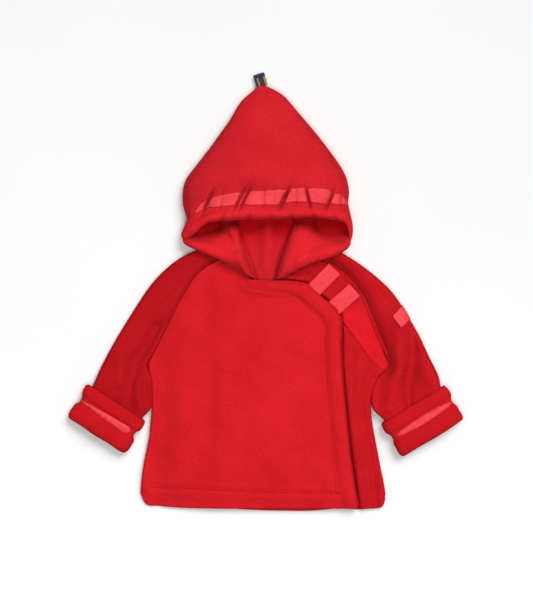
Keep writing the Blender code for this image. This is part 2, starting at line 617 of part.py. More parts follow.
def hood_top():
    """Upper layer from the left side fold to the right one, for every row."""
    angle = top_angles()
    sine, cosine = np.sin(angle), np.cos(angle)
    pucker = sum(depth * np.maximum(0, 1 - np.abs(HOOD_HALF * sine - x) / GATHER_REACH)
                 for x, depth in GATHERS)
    rows = []
    for (left_y, middle_y, right_y, height, side_z), gathered in zip(HOOD_ROWS, GATHER_ROWS):
        left_x, right_x = hood_side_x("left", left_y), hood_side_x("right", right_y)
        x = (left_x + right_x) / 2 + (right_x - left_x) / 2 * sine
        level = left_y + (right_y - left_y) * (sine + 1) / 2
        y = level + (middle_y - level) * cosine ** 0.7
        crown = np.clip(0.3 + (height - 8) / 30, 0.3, 0.9)
        z = side_z + (height - side_z) * cosine ** crown - pucker * gathered
        rows.append(np.column_stack([x, y, z]))
    return np.array(rows)


def build_hood(material, ribbon_material):
    left = hood_under_half("left")[:, ::-1]
    right = hood_under_half("right")
    top = hood_top()
    grid = np.concatenate([left, top, right], axis=1)
    edges = np.ones(grid.shape[:2])
    edges[-1, :] = 0.7
    edges[0, :], edges[1, :] = 0.5, 0.8
    cloth("hood", grid[:, ::-1], material, edges=edges, upright=(0, -1))
    first, last = HOOD_RIBBON_ROWS
    fold = left.shape[1] - 1
    strip = grid[first:last + 1, fold:fold + top.shape[1] + 2]
    middle = (strip[:1] + strip[1:]) / 2
    trim("hood_ribbon", np.concatenate([strip[:1], middle, strip[1:]])[:, ::-1], ribbon_material)


def build_loop(material):
    """Short folded tape at the tip of the hood."""
    start, end, half = np.array((-4.7, 270.4)), np.array((-9.8, 284.8)), 7.4
    along = end - start
    cross = np.array((along[1], -along[0])) / np.linalg.norm(along)
    path = [(0.0, 4.9), (0.3, 4.8), (0.65, 4.2), (0.95, 3.4), (1.0, 2.6), (0.95, 1.9), (0.65, 1.9),
            (0.3, 2.2), (0.0, 2.4)]
    outer = [[(*(start + along * t + cross * half * s), z) for s in (-1, -0.33, 0.33, 1)] for t, z in path]
    cloth("hood_loop", np.array(outer), material, thickness=0.7)


# ---------------------------------------------------------------- trims on the body

def build_tab(name, material):
    tab = TABS[name]
    start, end = np.array(tab["start"], float), np.array(tab["end"], float)
    along = end - start
    cross = np.array((-along[1], along[0])) / np.linalg.norm(along) * tab["width"] / 2
    under = [[(*(start + along * t + cross * s), z) for s in (1, 0.33, -0.33, -1)]
             for t, z in zip(TAB_STEPS, tab["rise"])]
    under = np.array(under)
    over = under + np.array((0, 0, TAPE))
    wall_mesh(name, over, under, material)


def build_label(grid, material):
    """Small patch folded over the outer fold of the sleeve on the right of the view."""
    fold_column = grid.shape[1] // 2
    steps = np.linalg.norm(np.diff(grid[:, fold_column], axis=0), axis=1)
    length = np.concatenate([[0], np.cumsum(steps)])
    rows = []
    for mark in LABEL_SPAN:
        k = int(np.searchsorted(length, mark)) - 1
        t = (mark - length[k]) / steps[k]
        rows.append(grid[k] * (1 - t) + grid[k + 1] * t)
    patch = np.array(rows)[:, LABEL_COLUMNS[0]:LABEL_COLUMNS[1]]
    trim("sleeve_label", patch, material, thickness=0.8, lift=0.5)


def main():
    for thing in list(bpy.data.objects):
        bpy.data.objects.remove(thing, do_unlink=True)
    fleece, ribbon, loop, label = (make_material(name) for name in COLOURS)
    build_back(fleece)
    build_front_left(fleece)
    build_front_right(fleece)
    for side, place in (("left", "sleeve_on_left"), ("right", "sleeve_on_right")):
        grid, curl = sleeve_grid(side)
        cloth(place, grid, fleece, butted={0: curl, -1: curl})
        build_cuff(side, fleece, ribbon)
        if side == "right":
            build_label(grid, label)
    build_hood(fleece, ribbon)
    build_loop(loop)
    for name in TABS:
        build_tab(name, ribbon)


main()
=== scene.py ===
import math
from functools import partialmethod

import bpy
import numpy as np
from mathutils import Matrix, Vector
from mathutils.bvhtree import BVHTree


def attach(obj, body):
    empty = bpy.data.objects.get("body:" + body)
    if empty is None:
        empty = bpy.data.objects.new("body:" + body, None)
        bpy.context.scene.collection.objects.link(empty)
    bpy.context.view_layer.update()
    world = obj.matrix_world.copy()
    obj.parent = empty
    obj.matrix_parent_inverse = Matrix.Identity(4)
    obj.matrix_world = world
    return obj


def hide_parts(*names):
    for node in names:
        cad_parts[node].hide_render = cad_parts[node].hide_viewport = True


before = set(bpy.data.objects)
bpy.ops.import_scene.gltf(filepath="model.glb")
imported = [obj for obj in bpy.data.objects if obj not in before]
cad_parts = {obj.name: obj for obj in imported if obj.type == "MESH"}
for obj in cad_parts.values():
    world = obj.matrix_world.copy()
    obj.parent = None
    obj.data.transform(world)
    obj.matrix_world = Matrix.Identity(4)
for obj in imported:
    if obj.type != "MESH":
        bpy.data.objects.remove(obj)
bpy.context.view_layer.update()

MM = 0.001
SIGN = {"left": -1, "right": 1}
CLOTH = 3.0            # fleece
SEAM = 0.03            # from a seam line to the edge of each piece
SIDE_HEIGHT = 10.8     # body, where front and back meet at the side
UNDERLAP_TOP = 6.4     # front_left, where front_right lies over it
UNDERLAP_SHOWN = 2.2   # how much higher front_left lies where it shows
FRONT_TOP = 8.6        # front_right, where it lies on the back panel alone
OVER_UNDERLAP = 1.7    # how much higher it lies over front_left
UNDER_HOOD_TOP = 9.0   # front_right, where the hood lies over it

SIDE_ROWS, RAGLAN_ROWS = 10, 14

# Seam lines in plan, from the hem to the underarm and from there to the neck: x, y
SIDE_SEAM = {
    "left": [(-164, -262), (-162, -241), (-158.5, -218), (-153, -192), (-150, -166), (-149, -140),
             (-150, -114), (-153, -93)],
    "right": [(156, -264), (154, -247), (149, -224), (144, -198), (139.5, -174), (137, -153), (139, -130),
              (145, -113), (157, -96)],
}
RAGLAN = {
    "left": [(-153, -93), (-144, -76), (-134, -55), (-125, -37), (-114, -15), (-101, 7), (-90, 23),
             (-73, 36), (-52, 46), (-31, 53)],
    "right": [(157, -96), (152, -75), (144, -57), (137, -39), (130, -21), (123, -5), (114, 7), (98, 24),
              (77, 39), (54, 51), (33, 59)],
}
BACK_RAGLAN = {
    "left": RAGLAN["left"][:6] + [(-89, 25), (-72, 39), (-51, 52), (-29, 63)],
    "right": RAGLAN["right"][:7] + [(99, 25), (78, 41), (54, 54), (31, 65)],
}

# Wrapping edge of front_right from the hem to the neck
FRONT_EDGE = [(120, -281.5), (117.5, -259), (112, -225), (108, -190), (104.5, -155), (101.5, -125),
              (99, -95), (98, -70), (98, -46), (96, -28), (87, -18), (76, -8), (64, 2), (52.5, 12),
              (26, 15.5), (-3, 15.5), (-18.5, 16), (-22.5, 28), (-26, 38)]
FRONT_RIGHT_SIDE_STEPS = 7

# front_left: edge hidden under front_right, line just inside that edge, then the seam on its other side
FRONT_LEFT = [
    # hidden_x, hidden_y, lap_x, lap_y
    (-65, -281, 112, -281.5), (-60, -250, 109, -252), (-57, -222, 105, -222),
    (-54, -193, 101.5, -193), (-53, -166, 98, -166), (-52, -139, 95.5, -139),
    (-52, -112, 93.5, -112), (-52, -85, 92, -86), (-52, -60, 91.5, -60),
    (-48, -38, 90, -38), (-38, -20, 80, -25), (-24, -6, 66, -12),
    (-8, 4, 54, -1), (8, 11, 48, 9), (18, 20, 43, 19), (22, 34, 38, 34), (25.5, 46, 37, 49)]

# Lower edge of the fronts, and over how many rows it bends them
HEM = [(-164, -262), (-159, -273), (-144, -277.5), (-112, -280.5), (-47, -281.5), (119.5, -281.5),
       (122, -282.6), (130, -281.8), (146, -281), (150.5, -279.2), (153.5, -276), (155.3, -271), (156, -265)]
HEM_ROWS = 3.2
BACK_NECK = [
    # x, rise of the neck edge above the line between its corners
    (-29, 0), (-25, 1.5), (-18, 3.0), (1, 2.6), (20, 2.4), (27, 1.8), (31, 0)]
NECK_FADE = (0.3, 1.0)   # share of that rise in the last rows
FRONT_STOP = 0.92      # share of the raglan seam at which the fronts end, under the hood

# Row from which the fronts go under the hood, and height of their raglan edges: row, height
HOOD_OVER_ROW = 18
RIGHT_BORDER = [(18, 7.6), (21, 8.6)]
LEFT_BORDER = [(0, 8.2), (14, 8.2), (18, 7.0), (22, 6.6)]

LAP_LEAD, LAP_RAMP = 24.0, 16.0   # where front_right starts to climb on front_left, and over what length
UNDERLAP_RISE = (0.02, 0.3, 0.75, 1.0, 1.0, 1.0)   # of front_left, from under the lap to where it shows

# Turn of the cloth at a seam: angle round it, reach from the edge where the cloth lies flat
CURL = [(2, 0.0), (32, 1.4), (62, 3.6), (90, 6.0)]
SEAM_TURN = [(2, 0.0), (45, 1.8), (90, 5.0)]

# Sleeves: outer fold in plan from the neck to the point across from the underarm, then down to the cuff
SLEEVE = {
    "left": {
        "shoulder": [(-38, 71), (-62, 66), (-88, 56), (-110, 46), (-131, 30), (-149, 11), (-163, -9),
                     (-177, -31), (-190, -52), (-201, -71)],
        "lower_fold": [(-201, -71), (-209, -86), (-216.5, -101), (-222, -114), (-226.5, -125)],
        "lower_seam": [(-152.8, -94), (-147.8, -112), (-146.6, -130), (-148.4, -149), (-161, -163)],
    },
    "right": {
        "shoulder": [(38, 73), (65, 65), (96, 53), (122, 37), (144, 20), (162, 3), (176, -16),
                     (188, -36), (199, -55), (207, -72)],
        "lower_fold": [(207, -72), (214, -87), (221, -101), (226, -114), (227.5, -124)],
        "lower_seam": [(157.2, -97), (143.2, -113), (136.8, -130), (137.4, -149), (152, -165)],
    },
}
SLEEVE_LOWER_ROWS = 5
SLEEVE_ENDS = (-3.0, 4.0)     # of the last two rows, from the middle of the cuff's upper band
SLEEVE_NARROWER = 8.0         # than half the cuff's upper band
SLEEVE_BASE = [(0, 0), (14, 0), (16, 3.4), (17, 4.4), (19, 4.6)]   # row, z
SLEEVE_HEIGHT = [(0, 8.6), (3, 9.2), (14, 9.2), (16, 8.2), (17, 7.2)]
SLEEVE_BORDER = [(0, 6.6), (3, 7.2), (13, 7.2)]
FOLD_ANGLES = (90, 55)
FLAT_SHARES = (0.17, 0.34, 0.5, 0.66, 0.83)
SLEEVE_FOLDS = {
    # height (below zero for a valley), half width, plan line
    "left": [(-1.9, 11, [(-142, -45), (-155, -68), (-169, -90), (-175, -116)]),
             (0.9, 9, [(-191, -88), (-191, -116)])],
    "right": [(1.0, 10, [(172, -40), (174, -106)]), (-1.8, 9, [(189, -48), (191, -116)])],
}

# Cuffs: centre of the upper band, direction across, direction to the wrist
CUFF = {
    "left": [(-200.2, -152.1), (0.844, -0.537), (-0.537, -0.844)],
    "right": [(196.3, -154.1), (0.855, 0.519), (0.519, -0.855)],
}
CUFF_BANDS = {
    # along, half_width, height
    "left": [(-11.5, 43.5, 15.4), (-9, 45.2, 16.6), (-3, 45.8, 17.4), (3, 45, 17), (7.2, 42.6, 13.2),
             (11, 41.2, 12.6), (14.2, 42, 13.2), (19, 45.3, 16.6), (26, 46, 17.6), (33, 46, 17),
             (38.5, 43.8, 14.6), (40.6, 40.5, 11.4)],
    "right": [(-10.5, 48.6, 15.4), (-8, 49.2, 16.6), (-3, 50.3, 17.4), (4, 49.8, 17), (9, 46.8, 13.2),
              (12.5, 45.4, 12.6), (16, 46.4, 13.2), (21, 48.4, 16.8), (28, 48.4, 17.6), (34, 48.6, 17),
              (39.5, 47, 14.6), (41.6, 44, 11.4)],
}
CUFF_RIBBON_ROWS = (4, 6)
CUFF_STEPS = 120
CUFF_POWERS = (0.42, 0.6)     # how flat a ring is, across and in height

# Hood outline in plan (x at each y), then its rows from the tip to the face edge
HOOD_OUTLINE = {
    "left": [(268, -10.5), (257, -23), (246, -34), (224, -47), (206, -60), (188, -73), (170, -87),
             (158, -96), (146, -104), (133, -108), (115, -108), (103, -105), (94, -103), (85, -106.5),
             (75, -110), (69, -108)],
    "right": [(268, 1.5), (262, 14), (253, 26), (233, 43), (201, 70), (170, 93), (157, 101), (146, 105.5),
              (131, 108), (116, 107), (101, 110), (88, 112.5), (75, 112.5), (66, 109)],
}
HOOD_ROWS = [
    # left_y, middle_y, right_y, height, side_z
    (268, 268.5, 268, 8, 4), (259, 260, 260, 11, 5), (243, 245, 245, 15, 6),
    (225, 227, 227, 19, 6.5), (207, 208, 208, 24, 7.5), (189, 189, 189, 29, 8), (171, 171, 171, 33, 8),
    (152, 156, 155, 36.5, 8), (134, 145, 140, 36.7, 8), (118, 136, 127, 35.4, 8), (109, 130, 119, 34.2, 8.5),
    (100, 112, 112, 33.4, 9), (94, 107, 105, 34, 10), (87, 102, 94, 34.4, 11), (79, 97, 81, 33, 12.5),
    (69, 92.5, 66, 29, 14)]
GATHER_ROWS = (0, 0, 0, 0, 0, 0, 0, 0, 0, 0.4, 1.0, 1.0, 0.4, 0.2, 0.1, 0)   # share of the depth
HOOD_SPREAD_ROW = 9    # below this row the under layer spreads to the neck seam and the front corners
BACK_SEAM = [(79, 1.0), (200, 0.5), (268, -4.5)]   # y, x

# What the hood lies over: neck side of sleeve and front, its inside on the side away from the neck
SHOULDER_EDGE = {
    "left": [(-150, 11), (-131, 31), (-110, 47), (-88, 59), (-62, 70), (-38, 76), (-28, 65), (-23, 48),
             (-19, 32), (-15, 14)],
    "right": [(162, 4), (144, 21), (122, 38), (96, 56), (65, 71), (38, 79), (27, 66), (22, 48), (19, 33),
              (16, 16)],
}
SHOULDER_CLEARANCE, SHOULDER_RAMP = 9.8, 20.0

# Closure tabs: hidden end, free end, width, and the height of the underside along each
TABS = {
    "tab_upper": ((57.5, -1.5), (89, 30.5), 21, (6.9, 8.0, 9.2, 9.8, 10.2)),
    "tab_lower": ((81.5, -26.5), (115, 3.5), 21.5, (6.9, 8.0, 9.3, 10.0, 10.4)),
}
TAB_STEPS = (0.0, 0.25, 0.5, 0.75, 1.0)

# Loop at the tip of the hood, then label on the sleeve: its corner at the fold, size and turn
LOOP_ENDS, LOOP_HALF = ((-4.7, 268.4), (-9.8, 284.8)), 7.4
LOOP_PATH = [
    # share of the length, z: out along the upper half, back along the lower one
    (0.0, 5.2), (0.3, 5.0), (0.65, 4.4), (0.93, 3.5), (1.0, 2.6), (0.93, 1.9), (0.65, 1.9), (0.3, 2.2),
    (0.0, 2.4)]
LABEL_CORNER, LABEL_SIZE = (163.2, -30.6), (19.3, 22.0)
LABEL_TURN = math.radians(9.0)

# Fine shapes, which only this script has
NECK_CLOTH = 3.6       # over the neck edge of the back panel
FACING_WIDTH, FACING_MORE = 22.0, 1.8   # what the cloth turned in there adds
FACING_ROLL = [
    # distance from the wrapping edge, added height of the cloth turned in there
    (0, 1.2), (4, 3.0), (10, 2.8), (16, 1.6), (20, -0.1), (23, -0.7), (30, 0)]
HEM_WIDTH, HEM_MORE = 26.0, 1.2
BACK_PEEK = [
    # x, how far the back panel comes out below the front
    (-164, -4), (-110, -2.5), (-60, -1), (-30, 1.0), (0, 2.4), (50, 3.2), (75, 1.8), (100, -1), (156, -5)]
BACK_WIDER = (1.8, -90.0, 14.0)   # of the back panel under the arms: by how much, y, half length
AIR_MIDDLE, AIR_HALF = (-12, -130), (138, 125)   # where the body lies high on the air between its layers
LOW_CORNER = -154.0    # x of the corner that lies flat
AIR_RISE, HEM_FALL, CORNER_FALL, SIDE_FALL = 6.8, 2.2, 2.5, 2.6   # rise there, and fall at its borders
SIDE_SHARE, SLEEVE_SHARE = 0.55, 0.62   # of the length, at which a side seam and a raglan seam end

# Ridges and valleys beside a line: height or depth, distance from the line, half width
LAP_RIDGE, LAP_VALLEY = (1.4, 6.0, 3.6), (4.2, 0.5, 1.3)    # of front_left, from the wrapping edge
WING_ROLL, WING_HANG = (3.0, -6.0, 4.5), (4.2, -1.6, 2.6)   # of the hood's wings, from NECK_FOLD
NECK_VALLEY = (2.4, 3.4, 2.4)                               # beside each wing
NECK_FOLD_HALF = 2.2                                        # over which a wing drops to the neck
NECK_BULGE, NECK_BULGE_HALF = 5.5, 11.0                     # of the cloth in the middle of the neck
NECK_BACK, NECK_FRONT = 80.0, 16.0   # y below which it lies on the back panel, y above which it bulges

# Lines of sewing in plan
FACING_STITCH = [(-26, 13.7), (-20.8, 8.5), (-10.4, 4.6), (5.2, 2), (24.7, 0.7), (33.8, -2), (44.2, -9.8),
                 (57.2, -21.5), (67.6, -31.9), (73.5, -35.5), (75.4, -40), (76.7, -62), (77, -88),
                 (79.3, -114), (81.9, -140), (84.5, -179), (87.1, -218), (89.7, -244), (91, -263)]
YOKE_STITCH = [(100, -41), (109, -52.7), (119.6, -67), (128.7, -80), (137.8, -90.4), (149.5, -102)]
HEM_STITCH = {
    "front_right": [(-150.8, -252.9), (-112, -254), (-47, -257.4), (-8, -259.4), (87, -260.7), (91, -262)],
    "front_left": [(96, -262), (130, -260), (152, -247)],
}
STITCH_RINGS = [(-1.0, 0.25), (-0.8, 0.85), (0.0, 1.0), (0.8, 0.85), (1.0, 0.25)]   # place, radius
STITCH_PITCH, STITCH_HALF, STITCH_RADIUS, STITCH_SIDES = 3.2, 1.15, 0.32, 6
RIBBON_SHOWN = {
    # distance across the cuff from its middle to the outer side, half width of the tape that shows
    "left": [(-37, 0), (-33, 3.4), (-29, 4.8), (-10, 4.6), (5, 4.0), (20, 2.9), (32, 1.6), (42, 0.6),
             (46, 0)],
    "right": [(-41, 0), (-36, 2.4), (-30, 3.8), (-10, 4.8), (8, 5.0), (26, 4.4), (38, 3.2), (44, 1.4),
              (48, 0)],
}
CUFF_SEED = {"left": 5, "right": 8}   # of its unevenness
WAIST_LIFT, WAIST_HALF = 2.3, 6.5     # of the fleece that swells under the ribbon
TAPE_LIFT, TAPE_SINK = 1.0, 2.2       # of the ribbon over the fleece, and of its hidden part below that
CUFF_TAPE_THICK = 0.7

# Folds of the cloth: height (below zero for a valley), half width, plan line
BODY_FOLDS = [(1.5, 13, [(-52, -100), (-62, -230)]), (-1.2, 9, [(44, -208), (44, -220)]),
              (-1.5, 11, [(60, -42), (66, -66)]), (-0.9, 10, [(-20, -90), (-30, -240)]),
              (1.0, 16, [(20, -60), (15, -250)]), (2.6, 26, [(-104, -120), (-108, -240)])]
UNDERLAP_FOLDS = [(1.4, 9, [(122, -112), (132, -240)]), (-1.6, 9, [(108, -80), (112, -235)]),
                  (-3.5, 9, [(22, 38), (48, 22), (62, 12)]), (1.2, 9, [(122, -32), (138, -70)])]
SLEEVE_WRINKLES = {
    "left": [(-3.0, 8, [(-142, -45), (-155, -68), (-170, -90), (-176, -120), (-181, -146)]),
             (1.6, 7, [(-190, -84), (-188, -133)]), (2.6, 6, [(-169, -118), (-163, -150)]),
             (-3.0, 5, [(-190, -128), (-194, -146)]), (-1.6, 5, [(-158, -118), (-154, -150)]),
             (-1.4, 10, [(-124, -12), (-150, -30), (-168, -58)])],
    "right": [(1.6, 8, [(172, -42), (174, -107)]), (-2.6, 7, [(192, -44), (191, -112)]),
              (1.8, 8, [(207, -96), (218, -127)]), (3.2, 9, [(165, -112), (162, -150)]),
              (-2.0, 5, [(147, -108), (145, -150)]), (-3.4, 6, [(183, -104), (184, -128), (187, -152)])],
}
SLEEVE_DIP = {"left": (1.8, 13.0), "right": (7.5, 10.0)}   # fall of the sleeve to its raglan seam, reach

# Hood: free edge of the under layer from each side corner to the middle: x, y, z of its underside
HOOD_RIM = {
    "left": [(-108, 69, 9), (-106, 64, 10.5), (-101, 59.5, 12), (-91, 55, 14.5), (-75, 49, 16), (-57, 41, 16),
             (-39, 32, 15), (-26, 23, 13.5), (-18, 17, 11), (-12, 13, 6), (-6, 11, 3.6), (0.97, 10.5, 3.6)],
    "right": [(109, 66, 9), (108, 61, 10.5), (104.5, 56, 12), (98, 51, 14.5), (83, 45, 15.5), (64, 40, 15.5),
              (45, 32, 14), (29, 22.5, 12), (18, 17.5, 10), (12, 13, 6), (7, 11, 3.6), (1.03, 10.5, 3.6)],
}
NECK_FOLD = {
    # from inside the hood down to the notch: the wings end here and the neck lies lower
    "left": [(-41, 118), (-39, 89), (-36, 68), (-29, 49), (-21.5, 29), (-16, 12)],
    "right": [(39, 118), (37.5, 89), (34, 79), (30, 68), (25, 55), (20.5, 40), (17, 23), (14, 12)],
}
WING_FOLDS = {
    "left": [(-6.0, 11, [(-90, 81), (-72, 83)]), (5.5, 12, [(-54, 98), (-46, 70), (-36, 48)]),
             (-3.0, 4.0, [(-68, 90), (-46, 69), (-38, 56)]), (3.2, 8.0, [(-105, 69), (-98, 63)])],
    "right": [(-6.0, 11, [(97, 83), (74, 81)]), (4.5, 12, [(56, 98), (50, 74), (38, 50)]),
              (-1.0, 4.0, [(66, 88), (52, 66), (34, 42)]), (3.2, 8.0, [(107, 66), (101, 59)])],
}
SIDE_FOLD = 7.0        # radius of the hood's side folds
HOOD_HEM, HEM_THICKER = 20.0, 2.4   # width of the turned hem along the face edge, and what it adds
HOOD_EDGE = [
    # edge of the brim from corner to corner: x, y
    (-108, 69), (-99, 71.5), (-92, 76.5), (-86, 82), (-79, 87), (-73, 90), (-64, 90.8), (-36, 92.5),
    (-8, 92.7), (27, 94.2), (51, 96), (75, 94.8), (91, 92), (101, 90.5), (105, 86), (107, 77), (109, 66)]
HOOD_CREASES = [
    # x, depth of the pucker that the ribbon draws in the hood, how far it leans, reach over the ribbon
    (-73.5, 4.6, 0.5, 1.2), (-58, 0.8, 0.2, 0), (-33.6, 4.6, 0.55, 1.2), (-27.4, 4.4, 0.5, 1.5),
    (-3, 1.4, 0, 0), (10, 0.7, 0, 0), (23.5, 5.4, 0.5, 2.0), (38, 1.0, 0, 0), (54.6, 4.8, -0.25, 1.1),
    (68, 0.8, 0, 0), (83.5, 4.8, 0.45, 1.5), (98, 1.4, 0, 0)]
DIMPLE_HALF, DIMPLE_REACH = 3.2, 10.0   # half width, and reach from the face edge
BRIM_DIMPLES = [(-57.5, 2.2), (-22, 2.6), (6, 2.0), (32, 2.6), (61.5, 2.2), (91, 2.2)]
HOOD_CORNERS = [(-101, 73), (103, 72)]      # dips of the brim beside the shoulders
CORNER_DIP, CORNER_REACH = 3.0, 8.0
FACE_CORNERS = [(-108, 69), (109, 66)]      # where the brim turns under, and its wall thins out
HOOD_UNDER_STEPS, HOOD_OVER_STEPS = 92, 180   # columns of one half of the under layer, of the upper one
RIBBON_LINE, RIBBON_LOW = 121.0, 112.0   # y of its middle and of its lower edge
NECK_MIDDLE = [(15, 0.0), (50, 2.0), (90, 4.0)]   # y, x of the middle of the neck
HOOD_RIBBON = [
    # x, upper edge y, lower edge y
    (-92.3, 103.4, 102.0), (-85, 113.5, 105.2), (-79.3, 117.7, 107.4), (-72.8, 121.6, 109.2),
    (-57.2, 125.5, 110.8), (-33.8, 129.4, 112.3), (-1.3, 130.7, 112.5), (12, 131.6, 112.4),
    (24.7, 132.6, 114.2), (31.2, 133.4, 116.4), (52, 134.6, 116.4), (70.2, 133.9, 114.6),
    (82, 132.2, 114.1), (86, 128, 113.9), (96.2, 126.8, 113.8), (102.7, 120.3, 114.4), (105.5, 117, 115)]
RIBBON_THICK = 0.9     # of the ribbon on the hood

# Colours
FLEECE = {
    # dark, middle and light tone of the pile in sRGB
    "body": ((195, 20, 29), (209, 26, 35), (221, 34, 43)),
    "hood": ((199, 27, 36), (214, 32, 41), (227, 41, 50)),
    "underlap": ((180, 15, 24), (194, 20, 29), (208, 28, 37)),
    # the left sleeve's tones are darker than the right one's: painted shade on the side away from the light
    "sleeve_left": ((165, 12, 19), (179, 16, 24), (193, 24, 32)),
    "sleeve_right": ((178, 15, 22), (193, 20, 28), (209, 28, 37)),
    "cuff": ((182, 15, 23), (196, 20, 29), (210, 28, 37)),
}


def smooth(value):
    value = np.clip(value, 0.0, 1.0)
    return value * value * (3 - 2 * value)


def bell(distance, reach, power=2):
    """1 at no distance, next to nothing at twice the reach."""
    return np.exp(-(distance / reach) ** power)


def ridge(distance, height, place, half):
    """Rounded ridge along a line, or beside it."""
    return height * bell(distance - place, half)


def curve(table, at):
    """Values of a table of place and value, read at any place."""
    return np.interp(at, *np.transpose(table))


def unit(vectors):
    return vectors / np.maximum(np.linalg.norm(vectors, axis=-1, keepdims=True), 1e-9)


def hermite(t, start, end, slope0, slope1):
    """Smooth curve between two points with a slope at each."""
    return ((2 * t**3 - 3 * t**2 + 1) * start + (t**3 - 2 * t**2 + t) * slope0
            + (-2 * t**3 + 3 * t**2) * end + (t**3 - t**2) * slope1)


def spline(table, at):
    """Rows of a table joined by a smooth curve and read at fractions 0..1 of its length in rows."""
    table = np.asarray(table, float)
    at = np.asarray(at, float) * (len(table) - 1)
    index = np.clip(np.floor(at).astype(int), 0, len(table) - 2)
    before, start = table[np.maximum(index - 1, 0)], table[index]
    end, after = table[index + 1], table[np.minimum(index + 2, len(table) - 1)]
    return hermite((at - index)[:, None], start, end, (end - before) / 2, (after - start) / 2)


def knots_of(grid, ring=False):
    """Mean distance of each line of a grid from its first one."""
    step = np.diff(np.concatenate([grid, grid[:1]]) if ring else grid, axis=0)
    return np.concatenate([[0], np.cumsum(np.linalg.norm(step, axis=2).mean(axis=1))])


def read_at(line, length, marks):
    """Rows of a line at distances along it."""
    return np.stack([np.interp(marks, length, column) for column in line.T], axis=1)


def even(table, count, stop=1.0):
    """count points, evenly spaced along the smooth curve through a table, up to a share of its length."""
    fine = spline(table, np.linspace(0, 1, 400))
    length = knots_of(fine[:, None])
    return read_at(fine, length, np.linspace(0, length[-1] * stop, count))


def inset(line, distance):
    """A plan line moved to its left, seen along its direction."""
    step = unit(np.gradient(line, axis=0))
    return line + distance * np.stack([-step[:, 1], step[:, 0]], axis=1)


def beside(line, x, y):
    """Distance of plan points to a line, below zero on the line's left."""
    line = np.array(line, float)
    best = np.full(np.shape(x), 1e9)
    for start, end in zip(line[:-1], line[1:]):
        step = end - start
        t = np.clip(((x - start[0]) * step[0] + (y - start[1]) * step[1]) / (step @ step), 0, 1)
        dx, dy = x - start[0] - t * step[0], y - start[1] - t * step[1]
        distance = np.hypot(dx, dy)
        signed = np.where(step[0] * dy - step[1] * dx > 0, -distance, distance)
        best = np.where(distance < np.abs(best), signed, best)
    return best


def nearest(places, x, y):
    """Distance of plan points to the nearer of two places."""
    return np.minimum(*(np.hypot(x - place_x, y - place_y) for place_x, place_y in places))


def fold_height(folds, x, y):
    """Height that a table of folds adds at plan points."""
    return sum(height * bell(beside(line, x, y), half) for height, half, line in folds)


def uneven(x, y, height, seed):
    """Soft unevenness of cloth that lies by hand: a few long waves in different directions."""
    total = np.zeros_like(x)
    for k in range(7):
        angle = 2.4 * k + 0.7 * seed
        length = 34.0 + 13.0 * ((k * 5 + seed) % 7)
        total += np.sin((x * math.cos(angle) + y * math.sin(angle)) * 2 * math.pi / length + 1.9 * k + seed)
    return total * height / 3.0


# ------------ fine grids and walls of cloth

BORDER_STEPS = (0.0, 0.12, 0.4, 0.8, 1.25, 1.8)   # distances of the first lines of a grid from its border


def marks_of(length, pitch):
    """Distances along a grid: close together at its two borders and a pitch apart between them."""
    last = BORDER_STEPS[-1]
    inner = np.linspace(last, length - last, max(3, int((length - 2 * last) / pitch)))
    return np.concatenate([BORDER_STEPS[:-1], inner, length - np.array(BORDER_STEPS[-2::-1])])


def resample(grid, marks, knots):
    """Lines of a grid read off smooth curves at given distances."""
    gap = np.diff(knots)[:, None, None]
    slope = np.diff(grid, axis=0) / gap
    inner = (gap[1:] * slope[:-1] + gap[:-1] * slope[1:]) / (gap[1:] + gap[:-1])
    tangent = np.concatenate([slope[:1], inner, slope[-1:]])
    index = np.clip(np.searchsorted(knots, marks, side="right") - 1, 0, len(knots) - 2)
    h = gap[index]
    t = ((marks - knots[index]) / h[:, 0, 0])[:, None, None]
    return hermite(t, grid[index], grid[index + 1], h * tangent[index], h * tangent[index + 1])


class Cloth:
    """Fine grid of one face of a piece, with the distance of each line from the first row and column."""

    def __init__(self, face, along, across, ring=False, thick=CLOTH):
        self.face, self.along, self.across, self.ring = face, along, across, ring
        self.thick = np.full(face.shape[:2], thick)
        self.normal = None
        rows, columns = along[:, None], across[None, :]
        self.border = {"first": rows, "last": rows[-1] - rows, "left": columns,
                       "right": columns[0, -1] - columns}

    x, y, z = (property(lambda self, axis=axis: self.face[:, :, axis]) for axis in range(3))

    def lift(self, height):
        self.face[:, :, 2] += height

    def beside(self, line):
        return beside(line, self.x, self.y)

    def folds(self, table):
        return fold_height(table, self.x, self.y)

    def uneven(self, height, seed):
        return uneven(self.x, self.y, height, seed)

    def inner_share(self, reach=16.0):
        """0 on the borders, 1 further in."""
        first, last, left, right = self.border.values()
        return smooth(np.minimum(np.minimum(first, last), np.minimum(left, right)) / reach)

    def past(self, share):
        """For each row, 0 up to a share of the length and 1 a little beyond it."""
        return smooth((self.along - share * self.along[-1]) / 20.0)

    def at(self, along, across):
        """Points of the face at distances from its first row and column."""
        row, column = (np.clip(np.searchsorted(lines, place) - 1, 0, len(lines) - 2)
                       for lines, place in ((self.along, along), (self.across, across)))
        s = ((along - self.along[row]) / (self.along[row + 1] - self.along[row]))[:, :, None]
        t = ((across - self.across[column]) / (self.across[column + 1] - self.across[column]))[:, :, None]
        return ((self.face[row, column] * (1 - s) + self.face[row + 1, column] * s) * (1 - t)
                + (self.face[row, column + 1] * (1 - s) + self.face[row + 1, column + 1] * s) * t)


